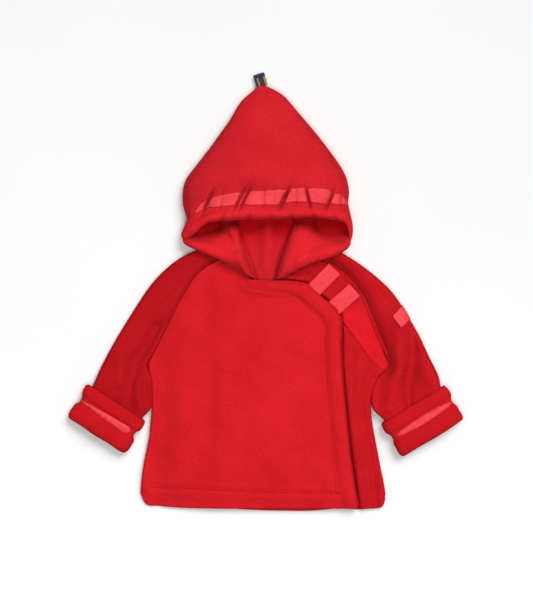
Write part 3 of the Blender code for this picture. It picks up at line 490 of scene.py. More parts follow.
def refine(coarse, pitch=2.4, across=None, ring=False):
    """Fine Cloth through the points of a coarse grid; a ring keeps its own columns."""
    knots = knots_of(coarse)
    along = marks_of(knots[-1], pitch)
    face = resample(coarse, along, knots)
    turned = np.swapaxes(face, 0, 1)
    if ring:
        return Cloth(face, along, np.arange(len(turned)) * knots_of(turned, True)[-1] / len(turned), True)
    knots = knots_of(turned)
    marks = marks_of(knots[-1], across or pitch)
    return Cloth(np.swapaxes(resample(turned, marks, knots), 0, 1), along, marks)


def outward(grid, ring=False):
    """Directions straight out of a face."""
    across = np.gradient(grid, axis=1)
    if ring:
        step = np.roll(grid, -1, axis=1) - grid
        across = step + np.roll(step, 1, axis=1)
    return unit(np.cross(across, np.gradient(grid, axis=0)))


def roundness(distance, radius):
    """0 on a border, 1 at its radius and beyond, along a quarter circle."""
    return np.sqrt(1 - (1 - np.clip(distance / radius, 0, 1)) ** 2)


def put(name, data, location=(0, 0, 0), towards=None):
    """Adds an object to the scene; a lamp shines from the direction given as towards."""
    piece = bpy.data.objects.new(name, data)
    piece.location = location
    if towards:
        piece.rotation_euler = Vector(towards).to_track_quat("Z", "Y").to_euler()
    bpy.context.scene.collection.objects.link(piece)
    return piece


def smooth_mesh(name, points, faces):
    mesh = bpy.data.meshes.new(name)
    mesh.from_pydata((points * MM).tolist(), [], faces)
    mesh.polygons.foreach_set("use_smooth", np.ones(len(faces), bool))
    return put(name, mesh)


def wall_mesh(name, outer, inner, along, across, ring=False):
    """Closed object between two grids of points, with its distances in metres as UV coordinates."""
    rows, columns = outer.shape[:2]
    under = rows * columns
    index = np.arange(under).reshape(rows, columns)
    if ring:
        index = np.concatenate([index, index[:, :1]], axis=1)
    quads = np.stack([index[:-1, :-1], index[:-1, 1:], index[1:, 1:], index[1:, :-1]], axis=2).reshape(-1, 4)
    faces = [quads, (quads + under)[:, ::-1]]
    borders = [(index[0], 1), (index[-1], -1)] + ([] if ring else [(index[:, 0], -1), (index[:, -1], 1)])
    for line, way in borders:
        a, b = line[:-1], line[1:]
        faces.append(np.stack([b, a, a + under, b + under], axis=1)[:, ::way])
    faces = np.concatenate(faces)
    points = np.concatenate([outer.reshape(-1, 3), inner.reshape(-1, 3)])
    piece = smooth_mesh(name, points, faces.tolist())
    plan = np.stack(np.broadcast_arrays(across[None, :], along[:, None]), axis=2).reshape(-1, 2) * MM
    uv = np.concatenate([plan, plan])[faces.ravel()]
    piece.data.uv_layers.new(name="cloth").data.foreach_set("uv", uv.ravel())
    return piece


def dress(piece, material, slot, *nodes):
    """Gives a piece its material and its place in the frame."""
    piece.data.materials.append(material)
    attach(piece, "root")
    if nodes:
        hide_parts(*nodes)
    return piece


def make(name, cloth, material, slot, node, free=(), seams=(), radius=1.3, level=None):
    """Piece with walls under a cloth. Free borders are rounded on both faces and seams on the outer one.
    level gives, for a side border, how level its edge is in each row."""
    normal = outward(cloth.face, cloth.ring) if cloth.normal is None else cloth.normal
    half = cloth.thick / 2
    share = math.prod((roundness(cloth.border[name], half) for name in free), start=np.ones_like(half))
    drop = sum((radius * (1 - roundness(cloth.border[name], radius)) for name in seams), np.zeros_like(half))
    middle = cloth.face - normal * half[:, :, None]
    inner = middle - normal * (half * share)[:, :, None]
    outer = middle + normal * (half * share - drop)[:, :, None]
    for side, amount in (level or {}).items():
        near = np.clip(1 - cloth.border[side] / CLOTH, 0, 1) * amount[:, None]
        inner[:, :, 2] += (cloth.z - inner[:, :, 2]) * near
    for face in (outer, inner):
        face[:, :, 2] = np.logaddexp(0, 2 * face[:, :, 2]) / 2   # no lower than the floor
    piece = wall_mesh(name, outer, inner, cloth.along, cloth.across, cloth.ring)
    return dress(piece, material, slot, node)


# ------------ body

def body_rail(side, raglan, stop=1.0):
    """Side seam and raglan seam of a panel as one line, moved off the seam by the seam gap."""
    rail = np.concatenate([even(SIDE_SEAM[side], SIDE_ROWS), even(raglan[side], RAGLAN_ROWS, stop)[1:]])
    return inset(rail, SIGN[side] * SEAM)


def rows_of(table):
    """A station table read at the rows of the body: its side rows, then its raglan rows."""
    side = FRONT_RIGHT_SIDE_STEPS / (len(table) - 1)
    return spline(table, [*np.linspace(0, side, SIDE_ROWS), *np.linspace(side, 1, RAGLAN_ROWS)[1:]])


def side_curl(rail, inner, top, border, up=1):
    """Plan points and heights of the columns next to a seam, for every row: a quarter turn down to
    mid-height along the side, and a nearly flat edge that drops to the border's height elsewhere."""
    inward = inner - rail
    width = np.linalg.norm(inward, axis=1)
    inward /= width[:, None]
    curl = 1 - smooth((np.arange(len(rail)) - (SIDE_ROWS - 2)) / 2.0)
    radius, last = SIDE_HEIGHT / 2, CURL[-1][1]
    plan, level = [], []
    for angle, reach in CURL:
        turn = math.radians(angle)
        flat_z = border + (top - border) * smooth(reach / last)
        a = curl * radius * (1 - math.cos(turn)) + (1 - curl) * np.minimum(reach, reach / last * width * 0.3)
        plan.append(rail + inward * a[:, None])
        level.append(curl * (radius + up * radius * math.sin(turn)) + (1 - curl) * flat_z)
    return plan, level


def spread(start, end, steps):
    """Columns after start, up to and with end."""
    return [start + (end - start) * ((k + 1) / steps) for k in range(steps)]


def hem_bend(columns):
    """Plan points of all columns, with the first rows moved towards the curve of the hem."""
    plan = np.stack(columns, axis=1)
    fade = 1 - smooth(np.arange(len(plan)) / HEM_ROWS)
    plan[:, :, 1] += (curve(HEM, plan[0, :, 0]) - plan[0, :, 1]) * fade[:, None]
    return plan


def with_height(plan, top):
    return np.concatenate([plan, top[:, :, None]], axis=2)


def front_right_coarse():
    seam, edge = body_rail("left", RAGLAN, FRONT_STOP), rows_of(FRONT_EDGE)
    row = np.arange(len(seam))
    curl_plan, curl_level = side_curl(seam, edge, FRONT_TOP, curve(RIGHT_BORDER, row))
    plan = hem_bend(curl_plan + spread(curl_plan[-1], edge, 14))
    underlap = np.array(FRONT_LEFT[:9], float)
    hidden = np.interp(plan[:, :, 1], underlap[:, 1], underlap[:, 0])
    top = FRONT_TOP + OVER_UNDERLAP * smooth((plan[:, :, 0] - hidden + LAP_LEAD) / LAP_RAMP)
    under_hood = smooth((row - HOOD_OVER_ROW) / 3.0)[:, None]
    top = top * (1 - under_hood) + UNDER_HOOD_TOP * under_hood
    top[:, :len(CURL)] = np.stack(curl_level, axis=1)
    return with_height(plan, top)


def front_left_coarse():
    seam, rails = body_rail("right", RAGLAN, FRONT_STOP), rows_of(FRONT_LEFT)
    hidden, lap = rails[:, :2], rails[:, 2:]
    row = np.arange(len(seam))
    shown_top = UNDERLAP_TOP + UNDERLAP_SHOWN * (1 - smooth((row - HOOD_OVER_ROW + 1) / 3.0))
    curl_plan, curl_level = side_curl(seam, lap, shown_top, curve(LEFT_BORDER, row))
    under_lap = [hidden] + spread(hidden, lap, 6)
    plan = hem_bend(under_lap + spread(lap, curl_plan[-1], len(UNDERLAP_RISE)) + curl_plan[-2::-1])
    share = np.concatenate([np.zeros(len(under_lap)), UNDERLAP_RISE, np.ones(len(CURL) - 1)])
    top = UNDERLAP_TOP + (shown_top - UNDERLAP_TOP)[:, None] * share[None, :]
    top[:, -len(CURL):] = np.stack(curl_level[::-1], axis=1)
    return with_height(plan, top)


def back_coarse():
    left, right = (body_rail(side, BACK_RAGLAN) for side in SIGN)
    left_plan, left_level = side_curl(left, right, 0.0, 0.0, up=-1)
    right_plan, right_level = side_curl(right, left, 0.0, 0.0, up=-1)
    plan = hem_bend(left_plan + spread(left_plan[-1], right_plan[-1], 10) + right_plan[-2::-1])
    plan[0, :, 1] -= curve(BACK_PEEK, plan[0, :, 0])
    neck = plan[-len(NECK_FADE):]
    neck[:, :, 1] += np.array(NECK_FADE)[:, None] * curve(BACK_NECK, neck[:, :, 0])
    level = np.zeros(plan.shape[:2])
    level[:, :len(CURL)] = np.stack(left_level, axis=1)
    level[:, -len(CURL):] = np.stack(right_level[::-1], axis=1)
    return with_height(plan, level)[:, ::-1]


def groove(piece, line, depth, half):
    """Line of sewing pressed in the cloth, with the cloth a little puffed on both its sides."""
    distance = np.abs(piece.beside(line))
    piece.lift(0.3 * depth * bell(distance - 2.6 * half, 1.6 * half) - depth * bell(distance, half))


def settle(piece, side):
    """Air between the layers: the middle lies high, and the cloth falls off towards the hem and side."""
    hem, edge = piece.border["first"], piece.border[side]
    dome = math.prod(bell(place - middle, half, 4)
                     for place, middle, half in zip((piece.x, piece.y), AIR_MIDDLE, AIR_HALF))
    dome = dome * (1 - bell(edge, 24)) * (1 - bell(hem, 26))
    corner = bell(piece.x - LOW_CORNER, 36) * bell(hem, 22)
    by_seam = smooth(edge / 9.0) * bell(np.maximum(edge - 9, 0), 12) * (1 - piece.past(SIDE_SHARE))[:, None]
    piece.lift(AIR_RISE * dome - HEM_FALL * (1 - smooth(hem / 17.0)) - CORNER_FALL * corner
               - SIDE_FALL * by_seam)
    piece.thick = CLOTH + HEM_MORE * smooth((HEM_WIDTH - hem) / 5.0)


def build_front_right(material):
    """Wrapping front: its facing rolls along the edge, and its wall runs straight down at the neck."""
    piece = refine(front_right_coarse())
    from_edge = np.abs(piece.beside(FRONT_EDGE))
    at_neck = smooth((4 - piece.x) / 22.0) * smooth((piece.y - 2) / 10.0)
    piece.lift(curve(FACING_ROLL, from_edge) * (1 - 0.9 * at_neck))
    groove(piece, FACING_STITCH, 0.8, 2.0)
    groove(piece, HEM_STITCH["front_right"], 0.7, 2.0)
    piece.lift((piece.folds(BODY_FOLDS) + piece.uneven(0.5, 1)) * piece.inner_share())
    settle(piece, "left")
    piece.thick = np.maximum(piece.thick, CLOTH + FACING_MORE * smooth((FACING_WIDTH - from_edge) / 5.0))
    upright = smooth((piece.y + 14) / 10.0)[:, :, None]
    piece.normal = unit(outward(piece.face) * (1 - upright) + np.array((0, 0, 1)) * upright)
    return make("front_right_fleece", piece, material, "fleece", "front_right", ("first", "right", "last"),
                ("left",), 0.8, {"left": 1 - piece.past(SIDE_SHARE)})


def build_front_left(material):
    """Underlap, with its yoke seam and a ridge beside the wrapping edge."""
    piece = refine(front_left_coarse(), 2.0, 0.9)
    shown = piece.beside(FRONT_EDGE)
    piece.lift(ridge(shown, *LAP_RIDGE) - ridge(shown, *LAP_VALLEY))
    groove(piece, YOKE_STITCH, 1.7, 1.2)
    groove(piece, HEM_STITCH["front_left"], 0.7, 2.0)
    piece.lift((piece.folds(UNDERLAP_FOLDS) + piece.uneven(0.3, 2)) * piece.inner_share(10.0))
    settle(piece, "right")
    return make("front_left_fleece", piece, material, "fleece", "front_left", ("first", "left", "last"),
                ("right",), 2.4, {"right": 1 - piece.past(SIDE_SHARE)})


def build_back(material):
    """Back panel, a little wider under the arms, where it shows beside the sleeves."""
    piece = refine(back_coarse(), 3.0)
    wider = ridge(piece.y, *BACK_WIDER) * (np.abs(piece.x) > 100)
    for side in SIGN:
        piece.face[:, :, 0] += np.sign(piece.x) * wider * bell(piece.border[side], 6)
    curl = 1 - piece.past(SIDE_SHARE)
    return make("back_fleece", piece, material, "fleece", "back", ("first", "last"), tuple(SIGN),
                level={"left": curl, "right": curl})


# ------------ sleeves and cuffs

def sleeve_plan(side):
    """Outer fold, front edge and back edge of a sleeve for every row, neck first."""
    table, sign = SLEEVE[side], SIGN[side]
    front, back = (inset(even(raglan[side], RAGLAN_ROWS, stop), -sign * SEAM)[::-1]
                   for raglan, stop in ((RAGLAN, FRONT_STOP), (BACK_RAGLAN, 1.0)))
    centre, cross, wrist = np.array(CUFF[side])
    half = sign * cross * (CUFF_BANDS[side][0][1] - SLEEVE_NARROWER)
    ends = [centre + wrist * along for along in SLEEVE_ENDS]
    fold, lower, seam = (even(table[name], rows) for name, rows in (
        ("shoulder", RAGLAN_ROWS), ("lower_fold", SLEEVE_LOWER_ROWS), ("lower_seam", SLEEVE_LOWER_ROWS)))
    fold = np.concatenate([fold, lower[1:], [end + half for end in ends]])
    inner = np.concatenate([seam[1:], [end - half for end in ends]])
    return fold, np.concatenate([front, inner]), np.concatenate([back, inner])


def sleeve_layer(width, height, curl, border, sign):
    """Points of one layer, from its seam to the middle of the outer fold: (distance from the fold, z)
    with z from mid-height; sign is 1 for the upper layer and -1 for the one underneath."""
    radius, last = height / 2, SEAM_TURN[-1][1]
    squeeze = min(1.0, width * 0.3 / last)
    points = []
    for angle, reach in SEAM_TURN:
        turn = math.radians(angle)
        flat_z = radius - (radius - border) * (1 - smooth(reach / last))
        a = curl * radius * (1 - math.cos(turn)) + (1 - curl) * reach * squeeze
        points.append((width - a, sign * (curl * radius * math.sin(turn) + (1 - curl) * flat_z)))
    start, end = points[-1][0], min(radius, width * 0.45)
    points += [(start + (end - start) * share, sign * radius) for share in FLAT_SHARES]
    for turn in np.radians(FOLD_ANGLES):
        points.append((end * (1 - math.cos(turn)), sign * radius * math.sin(turn)))
    return points


def sleeve_grid(side):
    """Sections from the neck to the cuff, each from the front edge round the outer fold to the back one."""
    fold, front, back = sleeve_plan(side)
    row = np.arange(len(fold))
    curl = smooth((row - (RAGLAN_ROWS - 2)) / 2.0)
    base, height, border = (curve(table, row) for table in (SLEEVE_BASE, SLEEVE_HEIGHT, SLEEVE_BORDER))
    middle = base + height / 2
    grid = []
    for k in row:
        line = []
        for edge, sign, level in ((front[k], 1, border[k] - height[k] / 2), (back[k], -1, height[k] / 2)):
            width = np.linalg.norm(edge - fold[k])
            layer = sleeve_layer(width, height[k], curl[k], level, sign)
            points = [(*(fold[k] + (edge - fold[k]) / width * a), middle[k] + z) for a, z in layer]
            line += points if sign > 0 else [(*fold[k], middle[k])] + points[::-1]
        grid.append(line)
    grid = np.array(grid)
    upper = grid[:, :grid.shape[1] // 2]
    share = (upper[:, :, 2] - middle[:, None]) / (height / 2)[:, None]
    upper[:, :, 2] += fold_height(SLEEVE_FOLDS[side], upper[:, :, 0], upper[:, :, 1]) * share
    return grid if side == "left" else grid[:, ::-1]


def build_sleeve(side, material):
    """Flat tube, wrinkled and uneven on its upper layer alone."""
    piece = refine(sleeve_grid(side), 2.0, 1.6)
    upper = smooth((piece.z - 4.0) / 3.0)
    bumps = piece.folds(SLEEVE_WRINKLES[side]) + piece.uneven(0.45, 3)
    depth, reach = SLEEVE_DIP[side]
    dip = depth * bell(piece.beside(RAGLAN[side]), reach)
    piece.lift((bumps * piece.inner_share(10.0) - dip) * upper)
    curl = piece.past(SLEEVE_SHARE)
    make("sleeve_fleece_" + side, piece, material, "fleece", "sleeve_on_" + side, (), tuple(SIGN), 0.8,
         {"left": curl, "right": curl})
    return piece


def cuff_grid(side):
    """Rings from the cuff's free edge to the wrist, then back up inside it."""
    centre, cross, wrist = np.array(CUFF[side])
    turn = np.arange(CUFF_STEPS) / CUFF_STEPS * 2 * math.pi
    shape, level = (np.sign(wave) * np.abs(wave) ** power
                    for wave, power in zip((np.cos(turn), np.sin(turn)), CUFF_POWERS))
    tallest = max(height for _, _, height in CUFF_BANDS[side])
    return np.array([np.column_stack([centre + wrist * along + np.outer(shape * half, cross),
                                      tallest / 2 - (tallest - height) * 0.2 + level * (height / 2)])
                     for along, half, height in CUFF_BANDS[side]])


def build_cuff(side, material, ribbon):
    """Turned-back cuff and the ribbon round its waist, which sinks in the fleece where it is not seen."""
    rings = cuff_grid(side)
    piece = refine(rings, 1.4, ring=True)
    upper = smooth((piece.z - 3.0) / 6.0)
    bumps = piece.uneven(1.1, CUFF_SEED[side]) * upper
    piece.face = piece.face + outward(piece.face, True) * bumps[:, :, None]
    first, last = knots_of(rings)[list(CUFF_RIBBON_ROWS)]
    waist = (first + last) / 2
    piece.lift(WAIST_LIFT * bell(piece.along[:, None] - waist, WAIST_HALF) * upper)
    make("cuff_fleece_" + side, piece, material, "fleece", "cuff_" + side, ("first", "last"))
    rows = (piece.along > first - 3) & (piece.along < last + 5)
    strip, along = piece.face[rows], piece.along[rows]
    centre, cross, _ = np.array(CUFF[side])
    z = strip[:, :, 2]
    shown = curve(RIBBON_SHOWN[side], (strip[:, :, :2] - centre) @ cross * SIGN[side]) * smooth((z - 7) / 4)
    shown = np.maximum(shown, 2.0 * smooth((8 - z) / 3))
    away = np.abs(along[:, None] - waist - 0.8)
    lift = (TAPE_LIFT - TAPE_SINK * smooth((away - shown + 0.8) / 1.6))[:, :, None]
    normal = outward(strip, True)
    tape = wall_mesh("cuff_tape_" + side, strip + normal * lift, strip + normal * (lift - CUFF_TAPE_THICK),
                     along, piece.across, True)
    dress(tape, ribbon, "ribbon", "cuff_ribbon_" + side)


# ------------ hood

def half_width(side, y):
    """Half width of the hood at any y, from the smooth curve through its outline."""
    return curve(even(HOOD_OUTLINE[side], 300)[::-1], y)


def shoulder_rise(x, y, side):
    """Height that clears the shoulder: full over it, falling to nothing on the surface beyond it."""
    signed = -SIGN[side] * beside(SHOULDER_EDGE[side], x, y)
    return SHOULDER_CLEARANCE * smooth((signed + SHOULDER_RAMP) / SHOULDER_RAMP)


def hood_rows():
    """Fine rows of the hood's table with their share in the gathers, and their distances: close together
    from a little above the ribbon."""
    table = np.column_stack([HOOD_ROWS, GATHER_ROWS])[:, None, :]
    knots = knots_of(table[:, :, [1, 3]])
    turn = knots[HOOD_SPREAD_ROW - 1]
    marks = np.concatenate([marks_of(turn, 2.8)[:-len(BORDER_STEPS)],
                            turn + marks_of(knots[-1] - turn, 1.2)[len(BORDER_STEPS) - 1:]])
    return resample(table, marks, knots)[:, 0], marks


def hood_under(side, rows):
    """Under layer from the side fold to the middle, for every fine row."""
    sign = SIGN[side]
    steps = np.linspace(0, 1, HOOD_UNDER_STEPS + 1)
    share = 0.45 * steps + 0.55 * steps ** 2
    rim = np.transpose(HOOD_RIM[side][::-sign])
    corner_x, middle_x = HOOD_RIM[side][0][0], HOOD_RIM[side][-1][0]
    side_y, side_z = rows[:, sign + 1], rows[:, 4]
    spread_y, last_y = HOOD_ROWS[HOOD_SPREAD_ROW][sign + 1], HOOD_ROWS[-1][sign + 1]
    # 0 while the layer ends at the seam up the back, then rising to 1 at its free edge
    t = np.maximum(0, (spread_y - side_y) / (spread_y - last_y))[:, None]
    start_y = np.maximum(side_y, spread_y)
    start_x = half_width(side, start_y)
    seam_x = curve(BACK_SEAM, start_y) + sign * SEAM
    rim_x = corner_x + (middle_x - corner_x) * share
    x = start_x[:, None] + (seam_x - start_x)[:, None] * share
    x += (rim_x - x) * t
    y = start_y[:, None] + (np.interp(rim_x, rim[0], rim[1]) - start_y[:, None]) * t
    x += (half_width(side, side_y) - x[:, 0])[:, None] * (1 - share) ** 4
    # a wing over the shoulder, with the neck lower beside it
    signed = sign * beside(NECK_FOLD[side], x, y)
    ground = shoulder_rise(x, y, side)
    lift = np.maximum(np.interp(rim_x, rim[0], rim[2]) - ground, 0)
    wing = ground + lift * smooth((t - 0.3) / 0.7) ** 1.5 + ridge(signed, *WING_ROLL) * smooth(t * 2)
    wing += fold_height(WING_FOLDS[side], x, y) * smooth(t * 3)
    bulge = NECK_BULGE * bell(x - curve(NECK_MIDDLE, y), NECK_BULGE_HALF)
    neck = NECK_CLOTH * smooth((NECK_BACK - y) / 10.0) + bulge * smooth((y - NECK_FRONT) / 22.0)
    inside = smooth((signed + NECK_FOLD_HALF) / (2 * NECK_FOLD_HALF))
    z = wing * (1 - inside) + neck * inside - ridge(signed, *NECK_VALLEY)
    z = np.maximum(z * smooth(t * 6), 0)
    x -= sign * ridge(signed, *WING_HANG) * smooth(t * 6)
    # round turn up to the side fold
    fold = np.minimum(SIDE_FOLD, 0.5 * np.abs(x[:, :1] - x[:, -1:]))
    near = 1 - roundness(np.hypot(x - x[:, :1], y - y[:, :1]), fold)
    z += np.maximum(side_z[:, None] - z, 0) * near
    return np.stack([x, y, z], axis=2)


def hood_over(rows):
    """Upper layer from the left side fold to the right one, without those folds themselves."""
    steps = np.linspace(-1, 1, HOOD_OVER_STEPS + 1)[1:-1]
    angle = (steps * math.pi / 2 + np.arcsin(steps)) / 2
    sine, cosine = np.sin(angle), np.cos(angle)
    left_y, middle_y, right_y, height, side_z, gathered = (rows[:, k, None] for k in range(6))
    left_x, right_x = half_width("left", left_y), half_width("right", right_y)
    x = (left_x + right_x) / 2 + (right_x - left_x) / 2 * sine
    level = left_y + (right_y - left_y) * (sine + 1) / 2
    y = level + (middle_y - level) * cosine ** 0.7
    band = (RIBBON_LOW - middle_y) / (RIBBON_LOW - middle_y[-1])
    y += (curve(HOOD_EDGE, x[-1]) - y[-1]) * smooth(band * 0.5) * 2
    z = side_z + (height - side_z) * cosine ** np.clip(0.3 + (height - 8) / 30, 0.3, 0.9)
    z -= CORNER_DIP * bell(nearest(HOOD_CORNERS, x, y), CORNER_REACH)
    for place, depth, lean, _ in HOOD_CREASES:
        away = x - place - lean * (y - RIBBON_LINE)
        z -= depth * gathered * (0.8 * bell(away, 1.5) + 0.2 * bell(away, 6))
    return np.stack([x, y, z], axis=2)


def build_hood(material):
    """Hood as one ring from the centre back round its upper layer, with the turned hem of its face edge."""
    rows, along = hood_rows()
    left, top, right = hood_under("left", rows)[:, ::-1], hood_over(rows), hood_under("right", rows)
    middle = (left[:, :1] + right[:, -1:]) / 2
    fade = np.linspace(0, 1, left.shape[1])[None, :, None] ** 6
    left, right = left + (middle - left[:, :1]) * fade[:, ::-1], right + (middle - right[:, -1:]) * fade
    grid = np.concatenate([left, top, right], axis=1)[:, ::-1]
    piece = Cloth(grid, along, knots_of(np.swapaxes(grid, 0, 1)), ring=True)
    step = np.linalg.norm(np.diff(grid, axis=0), axis=2)
    from_face = np.concatenate([np.cumsum(step[::-1], axis=0)[::-1], np.zeros((1, grid.shape[1]))])
    # turned hem of the brim, with its dimples
    hem = np.clip(1 - ((from_face - HOOD_HEM / 2) / (HOOD_HEM / 2)) ** 2, 0, 1) ** 1.4
    over = np.zeros(grid.shape[1])
    folds = right.shape[1] - 1, right.shape[1] + top.shape[1]
    over[folds[0] + 1:folds[1]] = 1
    from_fold = np.minimum(*(np.abs(piece.x - piece.x[:, fold:fold + 1]) for fold in folds))
    dimple = sum(depth * bell(piece.x - place, DIMPLE_HALF) for place, depth in BRIM_DIMPLES)
    bulge = hem - dimple * bell(from_face, DIMPLE_REACH) + piece.uneven(0.8, 4) * smooth(from_face / 20)
    neck = np.minimum(*(SIGN[side] * piece.beside(NECK_FOLD[side]) for side in SIGN))
    piece.thick = CLOTH + hem * HEM_THICKER * np.maximum(over, (1 - over) * smooth(-neck / 5.0))
    piece.thick += (1 - over) * piece.uneven(0.3, 6) * smooth(from_face / 8)
    normal = outward(grid, True)
    piece.face = grid + normal * (over * bulge * smooth(from_fold / 8.0))[:, :, None]
    piece.thick *= 1 - 0.85 * bell(nearest(FACE_CORNERS, piece.x, piece.y), 7.0)
    # the wall of the under layer goes straight up from its underside
    level = ((1 - over) * smooth(from_fold / 9.0))[:, :, None]
    piece.normal = unit(normal * (1 - level) + np.array((0, 0, -1)) * level)
    return make("hood_fleece", piece, material, "fleece", "hood", ("last",))


# ------------ tapes and sewing

def surface_of(piece):
    """Function that finds the top of a piece under plan points, in mm."""
    mesh = piece.data
    faces = [tuple(face.vertices) for face in mesh.polygons]
    tree = BVHTree.FromPolygons([vertex.co for vertex in mesh.vertices], faces)

    def top(x, y):
        points = []
        for px, py in zip(np.ravel(x), np.ravel(y)):
            place = tree.ray_cast(Vector((px * MM, py * MM, 0.1)), Vector((0, 0, -1)))[0]
            points.append((px, py, 0.0) if place is None else tuple(np.array(place) / MM))
        return np.array(points).reshape(*np.shape(x), 3)
    return top


def build_hood_tape(top, material):
    """Ribbon laid on the hood; the fleece closes over it where it is gathered most."""
    x, upper, lower = np.transpose(HOOD_RIBBON)
    dense = np.linspace(x[0], x[-1], 300)
    upper, lower, x = np.interp(dense, x, upper), np.interp(dense, x, lower), dense
    pinch = sum(depth / 3.4 * bell(x - place, 3.0) for place, depth, _, _ in HOOD_CREASES)
    middle, half = (upper + lower) / 2, (upper - lower) / 2 + 0.4 - 1.1 * pinch
    y = middle + half * np.linspace(-1, 1, 13)[:, None]
    plan_x = np.broadcast_to(x, y.shape)
    points = top(plan_x, y)
    level = points[:, :, 2]
    hidden = 0
    for place, _, lean, reach in HOOD_CREASES:
        if reach:
            hidden = np.maximum(hidden, bell(plan_x - place - lean * (y - RIBBON_LINE), reach, 4))
    points[:, :, 2] = (np.roll(level, 1, 1) + 2 * level + np.roll(level, -1, 1)) / 4 + 1.2 - 3.4 * hidden
    points[[0, -1], :, 2] -= 0.6
    length = knots_of(np.column_stack([x, middle])[:, None])
    under = points - np.array((0, 0, RIBBON_THICK))
    tape = wall_mesh("hood_tape", points, under, np.linspace(0, 19, 13), length)
    dress(tape, material, "ribbon", "hood_ribbon")


def tape_axes(start, end):
    """Start of a tape, its whole length as a vector and the direction across it, to its right."""
    start, along = np.array(start, float), np.subtract(end, start)
    return start, along, unit(np.array((along[1], -along[0])))


def build_loop(material):
    """Short folded tape at the tip of the hood."""
    start, along, cross = tape_axes(*LOOP_ENDS)
    face = np.array([[(*(start + along * t + cross * LOOP_HALF * s), z + 0.25 * math.cos(2.2 * s))
                      for s in np.linspace(-1, 1, 13)] for t, z in spline(LOOP_PATH, np.linspace(0, 1, 49))])
    piece = Cloth(face, knots_of(face), knots_of(np.swapaxes(face, 0, 1)), thick=0.8)
    make("hood_loop_tape", piece, material, "loop", "hood_loop", ("left", "right"))


def build_tab(name, material):
    """Closure tab, a little crowned."""
    start, end, width, rise = TABS[name]
    start, along, cross = tape_axes(start, end)
    length = np.linalg.norm(along)
    t, s = marks_of(length, 1.6) / length, marks_of(width, 1.4) / width * 2 - 1
    plan = start + t[:, None, None] * along + s[None, :, None] * cross * width / 2
    z = np.interp(t, TAB_STEPS, rise)[:, None] + 3.3 + 0.7 * (1 - s ** 2) - 1.6 * bell(t[:, None], 0.12)
    piece = Cloth(with_height(plan, z), t * length, (s + 1) * width / 2, thick=1.6)
    make(name + "_tape", piece, material, "ribbon", name, ("left", "right", "last"))


def build_label(sleeve, material):
    """Small bare patch folded over the outer fold of the sleeve on the right of the view."""
    away = np.hypot(sleeve.x - LABEL_CORNER[0], sleeve.y - LABEL_CORNER[1]) + 99.0 * (sleeve.z < 8)
    row, column = np.unravel_index(np.argmin(away), away.shape)
    u, v = np.linspace(0, LABEL_SIZE[0], 17), np.linspace(LABEL_SIZE[1], 0, 21)
    sine, cosine = math.sin(LABEL_TURN), math.cos(LABEL_TURN)
    patch = sleeve.at(sleeve.along[row] + u[:, None] * cosine - v * sine,
                      sleeve.across[column] - v * cosine - u[:, None] * sine)
    normal = outward(patch)
    label = wall_mesh("sleeve_patch", patch + normal * 1.2, patch + normal * 0.4, u, v)
    dress(label, material, "label", "sleeve_label")


def build_sewing(name, lines, top, material):
    """One object of short rounded stitches along plan lines, lying on the cloth under them."""
    pitch, half, radius, sides = STITCH_PITCH, STITCH_HALF, STITCH_RADIUS, STITCH_SIDES
    offset, share = (np.array(values)[:, None, None] for values in zip(*STITCH_RINGS))
    turn = (np.arange(sides) / sides * 2 * math.pi)[:, None]
    quads = [(a, b, b + sides, a + sides) for ring in range(0, sides * (len(STITCH_RINGS) - 1), sides)
             for a, b in zip(range(ring, ring + sides), [*range(ring + 1, ring + sides), ring])]
    size = sides * len(STITCH_RINGS)
    shape = quads + [tuple(range(sides))[::-1], tuple(range(size - sides, size))]
    stitches = []
    for line in lines:
        dense = even(line, 600)
        length = knots_of(dense[:, None])
        marks = np.arange(pitch, length[-1] - pitch, pitch)
        place, way = (read_at(values, length, marks) for values in (dense, np.gradient(dense, axis=0)))
        start, end = (top(*(place + unit(way) * half * reach).T) for reach in (-0.8, 0.8))
        axis = unit(end - start)
        side = unit(np.cross((0, 0, 1), axis))
        up = np.cross(axis, side)
        middle, axis, side, up = (values[:, None, None] for values in ((start + end) / 2, axis, side, up))
        stitches.append(middle + axis * half * offset + up * radius * (0.35 + 0.65 * (1 - offset ** 2))
                        + (side * np.cos(turn) + up * np.sin(turn)) * radius * share)
    points = np.concatenate(stitches).reshape(-1, 3)
    faces = [tuple(first + k for k in face) for first in range(0, len(points), size) for face in shape]
    dress(smooth_mesh(name, points, faces), material, "fleece")


# ------------ materials

BLACK, WHITE = (0.0, 0.0, 0.0, 1.0), (1.0, 1.0, 1.0, 1.0)


def linear(colour):
    """Linear colour of an sRGB one given in 0..255."""
    return tuple(((c / 255 + 0.055) / 1.055) ** 2.4 if c > 10 else c / 255 / 12.92 for c in colour) + (1.0,)


